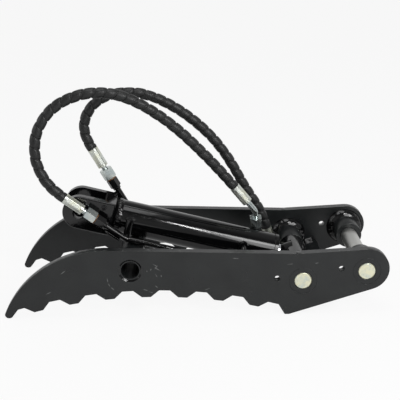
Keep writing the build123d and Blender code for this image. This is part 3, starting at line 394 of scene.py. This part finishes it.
def pin_plate(plating):
    """Yellow-passivated zinc on ground pins: straw-coloured at the flush ends, greyer and satin between the
    plates, with the rings of the facing cut too fine to tell apart."""
    material, tree, shader, place = new_finish("Yellow zinc on ground steel", roughness=0.4, metallic=1.0)
    from_middle = add(tree, "SeparateXYZ", {"Vector": place}, "Y")
    from_middle = add(tree, "Math", {0: from_middle}, operation="ABSOLUTE")
    at_end = add(tree, "MapRange", {"Value": from_middle, "From Min": 82 * MM, "From Max": 90 * MM})
    colour = add(tree, "Mix", {0: at_end, 6: plating.pin_middle, 7: plating.pin_colour}, 2, data_type="RGBA")

    # The straw colour turns cooler in patches of 7 mm on the ends, and is stained in spots of 4 mm
    cooler = add(tree, "TexNoise", {
        "Vector": place, "Scale": 1 / (7 * MM), "Detail": 4, "Roughness": 0.6}, "Fac")
    cooler = add(tree, "MapRange", {"Value": cooler, "From Min": 0.45, "From Max": 0.65, "To Max": 0.8})
    cooler = add(tree, "Math", {0: cooler, 1: at_end}, operation="MULTIPLY")
    colour = add(tree, "Mix", {0: cooler, 6: colour, 7: linear("D5DED6")}, 2, data_type="RGBA")
    stain = add(tree, "TexNoise", {
        "Vector": place, "Scale": 1 / (4 * MM), "Detail": 6, "Roughness": 0.7}, "Fac")
    stain = add(tree, "MapRange", {"Value": stain, "From Min": 0.6, "From Max": 0.72, "To Max": 0.5})
    colour = add(tree, "Mix", {0: stain, 6: colour, 7: linear("A9A78C")}, 2, data_type="RGBA")
    tree.links.new(colour, shader.inputs["Base Color"])

    # Marks of grinding and handling, drawn 0.8 mm across where the real ones are about 0.1 mm
    marks = add(tree, "TexNoise", {"Vector": place, "Scale": 1 / (0.8 * MM), "Detail": 4}, "Fac")
    gloss = add(tree, "MapRange", {
        "Value": marks, "From Min": 0.3, "From Max": 0.7, "To Min": 0.3, "To Max": 0.5})
    tree.links.new(gloss, shader.inputs["Roughness"])
    relief = add(tree, "Bump", {"Height": marks, "Distance": 0.05 * MM})
    tree.links.new(relief, shader.inputs["Normal"])
    return material


def plain_metal(name, hex_colour, roughness):
    """Turned or ground bare metal: its own colour in light and dull patches of 8 mm, and fine tool marks,
    0.5 mm apart and drawn coarser than the real 0.1 mm, that vary the roughness."""
    material, tree, shader, place = new_finish(name, roughness, metallic=1.0)
    marks = add(tree, "TexNoise", {"Vector": place, "Scale": 1 / (0.5 * MM), "Detail": 3}, "Fac")
    gloss = add(tree, "MapRange", {
        "Value": marks, "From Min": 0.3, "From Max": 0.7, "To Min": roughness * 0.7,
        "To Max": roughness * 1.3})
    tree.links.new(gloss, shader.inputs["Roughness"])
    tone = add(tree, "TexNoise", {"Vector": place, "Scale": 1 / (8 * MM)}, "Fac")
    tone = add(tree, "MapRange", {"Value": tone, "From Min": 0.3, "From Max": 0.7, "To Max": 0.3})
    bright = linear(hex_colour)
    dull = [0.7 * channel for channel in bright[:3]] + [1.0]
    colour = add(tree, "Mix", {0: tone, 6: bright, 7: dull}, 2, data_type="RGBA")
    tree.links.new(colour, shader.inputs["Base Color"])
    return material


def moulded(name, first, second, roughness, grain, ior, depth=0.04 * MM):
    """Moulded or extruded rubber and plastic: a soft sheen, two tones in patches of 12 mm, and a fine
    grain of that size and depth, which is coarser than the real 0.1 to 0.2 mm so that it shows."""
    material, tree, shader, place = new_finish(name, roughness, ior=ior)
    tone = add(tree, "TexNoise", {"Vector": place, "Scale": 1 / (12 * MM), "Detail": 4}, "Fac")
    tone = add(tree, "MapRange", {"Value": tone, "From Min": 0.35, "From Max": 0.7})
    colour = add(tree, "Mix", {0: tone, 6: first, 7: second}, 2, data_type="RGBA")
    tree.links.new(colour, shader.inputs["Base Color"])
    fine = add(tree, "TexNoise", {"Vector": place, "Scale": 1 / grain, "Detail": 3}, "Fac")
    gloss = add(tree, "MapRange", {
        "Value": fine, "From Min": 0.3, "From Max": 0.7, "To Min": roughness - 0.07,
        "To Max": roughness + 0.1})
    tree.links.new(gloss, shader.inputs["Roughness"])
    relief = add(tree, "Bump", {"Height": fine, "Distance": depth})
    tree.links.new(relief, shader.inputs["Normal"])
    return material


def coat(material, *names):
    """Give CAD nodes a material in their own slots."""
    for name in names:
        for slot in NODES[name].material_slots:
            slot.material = material


def soften(width, *names):
    """Round the edges of nodes by a narrow bevel, on meshes whose split corners are joined first."""
    same_place = 0.002 * MM
    same_flat = math.radians(0.3)
    sharp = math.radians(32)
    for name in names:
        node = NODES[name]
        node.modifiers.new("Join corners", "WELD").merge_threshold = same_place
        flats = node.modifiers.new("Whole flats", "DECIMATE")
        flats.decimate_type = "DISSOLVE"
        flats.angle_limit = same_flat
        rounding = node.modifiers.new("Rounded edges", "BEVEL")
        rounding.width = width
        rounding.segments = 2
        rounding.limit_method = "ANGLE"
        rounding.angle_limit = sharp
        rounding.harden_normals = True


def new_piece(name, places, faces, materials, body):
    """A piece of the scene that rides on a body, from its mesh."""
    mesh = bpy.data.meshes.new(name)
    mesh.from_pydata(places, [], faces)
    for material in materials:
        mesh.materials.append(material)
    piece = bpy.data.objects.new(name, mesh)
    bpy.context.scene.collection.objects.link(piece)
    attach(piece, body)
    return piece


def bead(frames, toes, root, crown, ripple_depth, ripple):
    """Places and faces of a weld bead that closes on itself. Each frame is (place, first axis, second
    axis, travel), and the section is drawn in those axes: a crowned line from toe to toe, rippled along the
    travel, and the root behind it."""
    steps = 8
    bow = 0.35      # ripples by which the toes run ahead of the middle
    blunt = 0.6     # below 1, so crests are broad and valleys narrow
    mean = 0.6      # height of the wave that is left at the crown
    start, end = Vector(toes[0]), Vector(toes[1])
    out = ((start + end) / 2 - Vector(root)).normalized()
    places = []
    for place, first, second, travel in frames:
        for step in range(steps + 1):
            share = step / steps
            arch = math.sin(math.pi * share)
            crescent = travel / ripple + bow * (2 * share - 1) ** 2
            wave = abs(math.sin(math.pi * crescent)) ** blunt - mean
            spot = start.lerp(end, share) + out * (crown * arch + ripple_depth * arch * wave)
            places.append(place + first * spot.x + second * spot.y)
        places.append(place + first * root[0] + second * root[1])
    ring = steps + 2
    count = len(frames)
    faces = []
    for index in range(count):
        following = (index + 1) % count
        for corner in range(ring):
            beside = (corner + 1) % ring
            faces.append((
                index * ring + corner, index * ring + beside,
                following * ring + beside, following * ring + corner))
    return places, faces


def ring_frames(centre, way, radius, count=180):
    """Frames round an axis: the first axis lies along it and the second points away from it."""
    side = way.orthogonal().normalized()
    frames = []
    for index in range(count):
        turn = math.tau * index / count
        out = Matrix.Rotation(turn, 3, way) @ side
        frames.append((centre, way, out, radius * turn))
    return frames


def whole_ripples(radius, wanted):
    """The ripple length nearest to the wanted one that fits a whole number of times round a ring."""
    return math.tau * radius / round(math.tau * radius / wanted)


def centre_of(node):
    """Middle of a node's box."""
    low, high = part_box(node)
    return (low + high) / 2


class THUMB_OT_coat_plates(bpy.types.Operator):
    """Coat the side plates, cross members and bosses"""

    bl_idname = "thumb.coat_plates"
    bl_label = "Coat the plates"

    def execute(self, context):
        paint = context.scene.thumb_paint
        # Share of scuffs and painted top light on the plates, and on the turned inner parts
        full_wear_and_light, slight_wear_and_light = 1.0, 0.15
        near_coat = powder_coat(paint, "Powder coat on the near plate", full_wear_and_light, NEAR_SCRATCHES)
        coat(near_coat, "side_plate_near")
        coat(powder_coat(paint, "Powder coat on the far plate", full_wear_and_light), "side_plate_far")
        inner_coat = powder_coat(paint, "Powder coat on turned steel", slight_wear_and_light)
        square_cut = (
            "heel_bar", "cylinder_boss_near", "cylinder_boss_far", "pivot_boss_near", "pivot_boss_far")
        coat(inner_coat, "cross_tube", *square_cut)
        soften(paint.edge_round, "side_plate_near", "side_plate_far", *square_cut)
        return {"FINISHED"}


class THUMB_OT_lay_welds(bpy.types.Operator):
    """Lay rippled weld beads round the bosses and the base of the cylinder, and coat the smaller welds"""

    bl_idname = "thumb.lay_welds"
    bl_label = "Lay the welds"

    def execute(self, context):
        weld = context.scene.thumb_welds
        # Weld metal under gloss enamel: black, with a glint on each ripple of the lumpy skin
        paint = context.scene.thumb_paint
        weld_coat = gloss_enamel(paint, "Gloss enamel on weld metal", grit=0.18 * MM)
        for side_name, side in (("near", -1), ("far", 1)):
            self.lay_boss_welds(side_name, side, weld, weld_coat)
        self.lay_base_weld(weld, weld_coat)
        coat(weld_coat, "heel_bar_welds", "cross_tube_welds", "rod_eye_weld", "standoff_weld")
        return {"FINISHED"}

    def lay_boss_welds(self, side_name, side, weld, weld_coat):
        """The fillet welds round both bosses, on the inner face of one plate."""
        boss_low, boss_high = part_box("pivot_boss_near")
        boss_radius = (boss_high.z - boss_low.z) / 2
        low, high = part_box(f"boss_welds_{side_name}")
        plate_face = max(abs(low.y), abs(high.y))
        toe = plate_face - min(abs(low.y), abs(high.y))
        radius = boss_radius + toe / 2
        places, faces = [], []
        for pin in ("cylinder_pin", "pivot_pin"):
            more_places, more_faces = bead(
                ring_frames(centre_of(pin), Vector((0, side, 0)), radius),
                ((plate_face, boss_radius + toe), (plate_face - toe, boss_radius)),
                (plate_face, boss_radius), weld.boss_crown, weld.ripple_depth,
                whole_ripples(radius, weld.boss_ripple))
            faces += [[corner + len(places) for corner in face] for face in more_faces]
            places += more_places
        welds = new_piece(f"boss_bead_{side_name}", places, faces, [weld_coat], "thumb")
        smooth(welds.data, sharp_degrees=60)
        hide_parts(f"boss_welds_{side_name}")

    def lay_base_weld(self, weld, weld_coat):
        """The circular weld between barrel and base clevis."""
        places, faces = bead(
            ring_frames(CYLINDER_PIN + CYLINDER_WAY * BARREL_REACH, CYLINDER_WAY, BARREL_RADIUS, count=240),
            ((0, BARREL_RADIUS), (BASE_WELD_LENGTH, BARREL_RADIUS - BASE_WELD_FALL)),
            (BASE_WELD_LENGTH / 2, BORE_RADIUS), weld.base_crown, weld.ripple_depth,
            whole_ripples(BARREL_RADIUS, weld.base_ripple))
        base_bead = new_piece("base_bead", places, faces, [weld_coat], "barrel")
        smooth(base_bead.data, sharp_degrees=60)
        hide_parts("base_weld")


class THUMB_OT_plate_pins(bpy.types.Operator):
    """Plate the two pins"""

    bl_idname = "thumb.plate_pins"
    bl_label = "Plate the pins"

    def execute(self, context):
        coat(pin_plate(context.scene.thumb_plating), "cylinder_pin", "pivot_pin")
        return {"FINISHED"}


class THUMB_OT_enamel_cylinder(bpy.types.Operator):
    """Enamel the cylinder with its ports, clevis and hard lines"""

    bl_idname = "thumb.enamel_cylinder"
    bl_label = "Enamel the cylinder"

    def execute(self, context):
        paint = context.scene.thumb_paint
        # Machined parts and bent pipe under the enamel: a smooth black mirror with long sharp highlights
        enamel = gloss_enamel(paint, "Gloss enamel on machined steel")
        coat(enamel, "barrel_tube", "head_gland", "rod_eye", "head_port_boss", "base_port_boss", "head_line",
             "base_line", "head_bracket", "base_bracket", "pipe_standoff", "head_adapter", "base_adapter")
        # A forging under the same enamel: its scale leaves the reflections slightly uneven
        coat(gloss_enamel(paint, "Gloss enamel on forged steel", grit=0.08 * MM), "base_clevis")
        soften(0.6 * MM, "head_bracket", "base_bracket")
        soften(0.4 * MM, "head_adapter", "base_adapter")
        return {"FINISHED"}


class THUMB_OT_finish_inside(bpy.types.Operator):
    """Finish the rod, piston, bushes and seals inside the cylinder"""

    bl_idname = "thumb.finish_inside"
    bl_label = "Finish the inner parts"

    def execute(self, context):
        # Turned carbon steel: mid-grey with a broad dull gleam
        coat(plain_metal("Turned carbon steel", "9A9B9D", roughness=0.32), "piston", "piston_nut")
        # Steel blackened in a hot bath: near black, with only a trace of metal in its sheen
        coat(plain_metal("Blackened steel plug", "3A3A3B", roughness=0.4), "gallery_plug")
        # Hard chrome, ground and polished: the brightest metal here, with crisp long reflections
        coat(plain_metal("Hard chrome on ground steel", "DADCDF", roughness=0.28), "rod")
        # Sintered bronze: warm yellow-brown, half matt from its pores
        coat(plain_metal("Sintered bronze", "B08D57", roughness=0.4), "eye_bushes")
        # Nitrile rubber from a mould: matt black with a soft sheen
        nitrile = moulded(
            "Moulded nitrile rubber", linear("151515"), linear("1E1E1E"), roughness=0.5, grain=0.4 * MM,
            ior=1.52)
        coat(nitrile, "wiper_seal", "rod_seal", "gland_o_ring", "piston_seal")
        # Nylon with filler, cut from tube: dull brown, with the grain of the filler
        guide = moulded(
            "Filled nylon guide ring", linear("4A3B26"), linear("5A4930"), roughness=0.45, grain=0.5 * MM,
            ior=1.53)
        coat(guide, "piston_wear_ring")
        return {"FINISHED"}


class THUMB_OT_plate_fittings(bpy.types.Operator):
    """Plate the hose ends and colour their seal rings"""

    bl_idname = "thumb.plate_fittings"
    bl_label = "Plate the hose ends"

    def execute(self, context):
        plating = context.scene.thumb_plating
        # Clear zinc on crimped sleeves: pale and slightly warm, with one long soft highlight
        crimped = zinc_plate(
            "Bright zinc on crimped steel", plating.zinc_colour, plating.zinc_tint, roughness=0.31)
        # Blue zinc on turned and milled steel: cooler and glossier, so each flat of a nut reads by itself
        turned = zinc_plate(
            "Blue zinc on turned steel", plating.nut_colour, plating.zinc_colour, roughness=0.2)
        for place in ("line", "free"):
            for side in ("near", "far"):
                coat(crimped, f"{place}_ferrule_{side}")
                coat(turned, f"{place}_nipple_{side}", f"{place}_nut_{side}")
                soften(0.4 * MM, f"{place}_nut_{side}")
        # A rubber lip bonded into a ring: a thin orange-brown line, half matt
        ring = moulded(
            "Bonded seal ring", plating.seal_colour, linear("573A1C"), roughness=0.4, grain=0.5 * MM,
            ior=1.52)
        coat(ring, "seal_rings")
        return {"FINISHED"}


def route_line(name, route):
    """Points along the smooth line of a route, whose points are the line's control points."""
    curve = bpy.data.curves.new(name, "CURVE")
    curve.dimensions = "3D"
    curve.resolution_u = 24
    spline = curve.splines.new("NURBS")
    spline.points.add(len(route) - 1)
    for point, place in zip(spline.points, route):
        point.co = (*place, 1.0)
    spline.order_u = 3
    spline.use_endpoint_u = True
    holder = bpy.data.objects.new(name, curve)
    bpy.context.scene.collection.objects.link(holder)
    line = bpy.data.meshes.new_from_object(holder)
    points = [vertex.co.copy() for vertex in line.vertices]
    bpy.data.objects.remove(holder)
    bpy.data.meshes.remove(line)
    bpy.data.curves.remove(curve)
    return points


def travel_frames(points):
    """For each point of a line: how far along it lies, and two axes across the line that don't twist."""
    ways = [(after - before).normalized() for before, after in zip(points, points[1:])]
    ways.append(ways[-1])
    side = ways[0].cross(ACROSS).normalized()
    frames = []
    gone = 0.0
    for index, (point, way) in enumerate(zip(points, ways)):
        if index > 0:
            gone += (point - points[index - 1]).length
            side = (ways[index - 1].rotation_difference(way)) @ side
        side = (side - way * side.dot(way)).normalized()
        frames.append((gone, point, side, way.cross(side)))
    return frames


def frame_at(frames, travel, start):
    """Place and axes at a distance along the line, looked for from the frame with index start."""
    index = start
    while index < len(frames) - 2 and frames[index + 1][0] < travel:
        index += 1
    while index > 0 and frames[index][0] > travel:
        index -= 1
    before, after = frames[index], frames[index + 1]
    share = (travel - before[0]) / max(after[0] - before[0], 1e-9)
    return (before[1].lerp(after[1], share), before[2].lerp(after[2], share).normalized(),
            before[3].lerp(after[3], share).normalized(), index)


def smooth(mesh, sharp_degrees):
    """Smooth shading, with edges sharper than that angle kept."""
    mesh.shade_smooth()
    mesh.set_sharp_from_angle(angle=math.radians(sharp_degrees))


def guard_section(hose):
    """Rows of one turn of the guard: (share of the pitch, radius, whether the strip covers it)."""
    crown = hose.diameter / 2
    core = hose.core_diameter / 2
    cover = hose.strip_width / hose.pitch
    strip = [(share * cover, crown - drop * MM, True) for share, drop in STRIP_PROFILE]
    return [(0.0, core, False), *strip, (cover, core, False)]


def guarded_hose(name, route, hose, materials, seed):
    """A hose in its spiral guard: mesh rows follow the edges of the guard's strip round the hose."""
    chance = random.Random(seed)
    line = route_line(name + "_line", route)
    frames = travel_frames(line)
    length = frames[-1][0]
    section = guard_section(hose)
    turns = math.ceil(length / hose.pitch) + 2
    rows = []
    for turn in range(turns):
        sink = chance.random() ** 2 * hose.unevenness
        slip = (chance.random() - 0.5) * hose.slip
        for share, radius, on_strip in section:
            row_at = (turn - 1 + share + slip) * hose.pitch
            rows.append((row_at, radius - (sink if on_strip else 0), on_strip))
    places = []
    index = 0
    end_radius = hose.core_diameter / 2
    for row_at, radius, _ in rows:
        for column in range(hose.columns):
            share = column / hose.columns
            travel = row_at + share * hose.pitch
            inside = min(max(travel, 0.0), length)
            point, first, second, index = frame_at(frames, inside, index)
            turn = -math.tau * share  # the strip is wound as a left-hand thread
            reach = radius if 0 < travel < length else end_radius
            places.append(point + (first * math.cos(turn) + second * math.sin(turn)) * reach)
    faces = []
    strip_faces = []
    for row in range(len(rows) - 1):
        for column in range(hose.columns):
            a, d = row * hose.columns + column, (row + 1) * hose.columns + column
            if column < hose.columns - 1:
                b, c = a + 1, d + 1
            else:
                b, c = (row + len(section)) * hose.columns, (row + 1 + len(section)) * hose.columns
            if c < len(places):
                faces.append((a, d, c, b))
                strip_faces.append(rows[row][2] or rows[row + 1][2])
    piece = new_piece(name, places, faces, materials, "barrel")
    for polygon, on_strip in zip(piece.data.polygons, strip_faces):
        polygon.material_index = 0 if on_strip else 1
    close_ends(piece.data)
    smooth(piece.data, sharp_degrees=40)
    return piece, line


def close_ends(mesh):
    """Join the points that meet at the two ends of a tube, and cap the ends."""
    same_place = 0.01 * MM
    work = bmesh.new()
    work.from_mesh(mesh)
    bmesh.ops.remove_doubles(work, verts=work.verts, dist=same_place)
    bmesh.ops.dissolve_degenerate(work, dist=same_place, edges=work.edges)
    bmesh.ops.delete(work, geom=[vertex for vertex in work.verts if not vertex.link_faces], context="VERTS")
    bmesh.ops.holes_fill(work, edges=[edge for edge in work.edges if edge.is_boundary], sides=0)
    bmesh.ops.recalc_face_normals(work, faces=work.faces)
    work.to_mesh(mesh)
    work.free()


class THUMB_OT_run_hoses(bpy.types.Operator):
    """Run the two guarded hoses from the hard lines to their free ends"""

    bl_idname = "thumb.run_hoses"
    bl_label = "Run the hoses"

    def execute(self, context):
        hose = context.scene.thumb_hoses
        # Polyethylene strip, extruded and wound on: charcoal with a dull waxy sheen on each turn
        guard = moulded(
            "Extruded polyethylene guard", hose.guard_colour, linear("191A1A"), roughness=0.45,
            grain=1.2 * MM, ior=1.5, depth=0.12 * MM)
        # Rubber cured in a cloth wrapping: matt black, seen only as dark gaps between the turns
        cover = moulded(
            "Wrapped rubber hose cover", hose.cover_colour, linear("161616"), roughness=0.6,
            grain=0.8 * MM, ior=1.52)
        for seed, (side, route) in enumerate((("near", NEAR_ROUTE), ("far", FAR_ROUTE))):
            piece, line = guarded_hose(f"guarded_hose_{side}", route, hose, [guard, cover], seed)
            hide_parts(f"hose_{side}")
        return {"FINISHED"}


class THUMB_OT_set_stage(bpy.types.Operator):
    """Set the pale floor, the sky, the lamps and the camera"""

    bl_idname = "thumb.set_stage"
    bl_label = "Set the stage"

    def execute(self, context):
        stage = context.scene.thumb_stage
        self.lay_floor(stage)
        self.light_sky(context, stage)
        self.hang_lamps(stage)
        self.place_camera(context, stage)
        context.scene.view_settings.view_transform = "Standard"
        return {"FINISHED"}

    def lay_floor(self, stage):
        """A pale floor that shows white away from the thumb and keeps part of its shadow."""
        work = bmesh.new()
        bmesh.ops.create_grid(work, x_segments=12, y_segments=12, size=stage.floor_size / 2)
        mesh = bpy.data.meshes.new("floor")
        work.to_mesh(mesh)
        work.free()
        floor = bpy.data.objects.new("floor", mesh)
        bpy.context.scene.collection.objects.link(floor)
        mesh.materials.append(self.floor_paint(stage))

    def floor_paint(self, stage):
        """Matt paint, rolled on a pale floor. To the camera most of it is plain white, so that the floor
        has no edge or horizon, and reflections show a share of that white. The rest is the paint itself,
        which takes the shadow of the thumb."""
        white_to_camera, white_in_reflections = 0.9, 0.25
        material = bpy.data.materials.new("Pale painted floor")
        material.use_nodes = True
        tree = material.node_tree
        shader = tree.nodes["Principled BSDF"]
        shader.inputs["Base Color"].default_value = stage.floor_colour
        shader.inputs["Roughness"].default_value = 0.8
        by_camera = add(tree, "LightPath", out="Is Camera Ray")
        reflected = add(tree, "LightPath", out="Is Glossy Ray")
        through_glass = add(tree, "LightPath", out="Is Transmission Ray")
        seen = add(tree, "Math", {0: by_camera, 1: reflected}, operation="MAXIMUM")
        seen = add(tree, "Math", {0: seen, 1: through_glass}, operation="MAXIMUM")
        share = add(tree, "MapRange", {
            "Value": by_camera, "To Min": white_in_reflections, "To Max": white_to_camera})
        share = add(tree, "Math", {0: share, 1: seen}, operation="MULTIPLY")
        white = add(tree, "Emission", {"Color": (1, 1, 1, 1), "Strength": 1.0})
        mixed = add(tree, "MixShader", {0: share, 1: shader.outputs["BSDF"], 2: white})
        tree.links.new(mixed, tree.nodes["Material Output"].inputs["Surface"])
        return material

    def light_sky(self, context, stage):
        """A sky as in a studio with a lit cove: white behind the thumb, dimmer overhead and in front."""
        front_edge, back_edge = -0.3, 0.15
        cove_top, dark_above = 0.3, 0.75
        world = bpy.data.worlds.new("Studio cove")
        world.use_nodes = True
        context.scene.world = world
        tree = world.node_tree
        way = add(tree, "TexCoord", out="Generated")
        height = add(tree, "SeparateXYZ", {"Vector": way}, "Z")
        depth = add(tree, "SeparateXYZ", {"Vector": way}, "Y")
        back = add(tree, "MapRange", {
            "Value": depth, "From Min": front_edge, "From Max": back_edge, "To Min": stage.sky_front})
        strength = add(tree, "MapRange", {
            "Value": height, "From Min": cove_top, "From Max": dark_above, "To Min": stage.sky_low,
            "To Max": stage.sky_high}, interpolation_type="SMOOTHSTEP")
        strength = add(tree, "Math", {0: strength, 1: back}, operation="MULTIPLY")
        tree.links.new(strength, tree.nodes["Background"].inputs["Strength"])
        tree.nodes["Background"].inputs["Color"].default_value = (1, 1, 1, 1)

    def hang_lamps(self, stage):
        """A large soft lamp above, three in front on the right, a narrow bright one in front, and a soft
        one on the left."""
        for name, place, (width, height) in LAMPS:
            lamp = bpy.data.lights.new(f"{name}_lamp", "AREA")
            lamp.shape = "RECTANGLE"
            lamp.size = width
            lamp.size_y = height
            lamp.energy = getattr(stage, f"{name}_power")
            holder = bpy.data.objects.new(f"{name}_lamp", lamp)
            bpy.context.scene.collection.objects.link(holder)
            holder.location = place
            holder.rotation_euler = (LAMP_AIM - Vector(place)).to_track_quat("-Z", "Y").to_euler()

    def place_camera(self, context, stage):
        """The camera where the photograph was taken from."""
        camera = bpy.data.cameras.new("camera")
        camera.lens = stage.lens * 1000
        camera.sensor_width = 36.0
        camera.clip_start, camera.clip_end = 0.05, 200.0
        holder = bpy.data.objects.new("camera", camera)
        context.scene.collection.objects.link(holder)
        level = Vector((math.sin(CAMERA_TURN), math.cos(CAMERA_TURN), 0))
        ahead = level * math.cos(CAMERA_DOWN) - Vector((0, 0, math.sin(CAMERA_DOWN)))
        right = Vector((math.cos(CAMERA_TURN), -math.sin(CAMERA_TURN), 0))
        up = right.cross(ahead)
        leaned_right = right * math.cos(CAMERA_ROLL) + up * math.sin(CAMERA_ROLL)
        leaned_up = up * math.cos(CAMERA_ROLL) - right * math.sin(CAMERA_ROLL)
        axes = Matrix((leaned_right, leaned_up, -ahead)).transposed()
        holder.matrix_world = Matrix.Translation(CAMERA_PLACE) @ axes.to_4x4()
        context.scene.camera = holder


STEPS = (
    THUMB_OT_set_stage, THUMB_OT_run_hoses, THUMB_OT_plate_fittings, THUMB_OT_coat_plates,
    THUMB_OT_lay_welds, THUMB_OT_plate_pins, THUMB_OT_enamel_cylinder, THUMB_OT_finish_inside)
GROUPS = {
    "thumb_paint": PaintSettings, "thumb_plating": PlatingSettings, "thumb_welds": WeldSettings,
    "thumb_hoses": HoseSettings, "thumb_stage": StageSettings}


class THUMB_PT_looks(bpy.types.Panel):
    """Settings and steps of the thumb's looks"""

    bl_label = "Thumb looks"
    bl_idname = "THUMB_PT_looks"
    bl_space_type = "VIEW_3D"
    bl_region_type = "UI"
    bl_category = "Thumb"

    def draw(self, context):
        for step in STEPS:
            self.layout.operator(step.bl_idname)
        for group, settings in GROUPS.items():
            box = self.layout.box()
            for name in settings.__annotations__:
                box.prop(getattr(context.scene, group), name)


def register():
    """Register the settings, the steps and the panel."""
    for group, settings in GROUPS.items():
        bpy.utils.register_class(settings)
        setattr(bpy.types.Scene, group, PointerProperty(type=settings))
    for step in (*STEPS, THUMB_PT_looks):
        bpy.utils.register_class(step)


def unregister():
    """Take the panel, the steps and the settings out again."""
    for step in (THUMB_PT_looks, *reversed(STEPS)):
        bpy.utils.unregister_class(step)
    for group, settings in GROUPS.items():
        delattr(bpy.types.Scene, group)
        bpy.utils.unregister_class(settings)


def main():
    """Dress the thumb step by step."""
    register()
    bpy.ops.thumb.set_stage()
    bpy.ops.thumb.run_hoses()
    bpy.ops.thumb.plate_fittings()
    bpy.ops.thumb.coat_plates()
    bpy.ops.thumb.lay_welds()
    bpy.ops.thumb.plate_pins()
    bpy.ops.thumb.enamel_cylinder()
    bpy.ops.thumb.finish_inside()


if __name__ == "__main__":
    main()
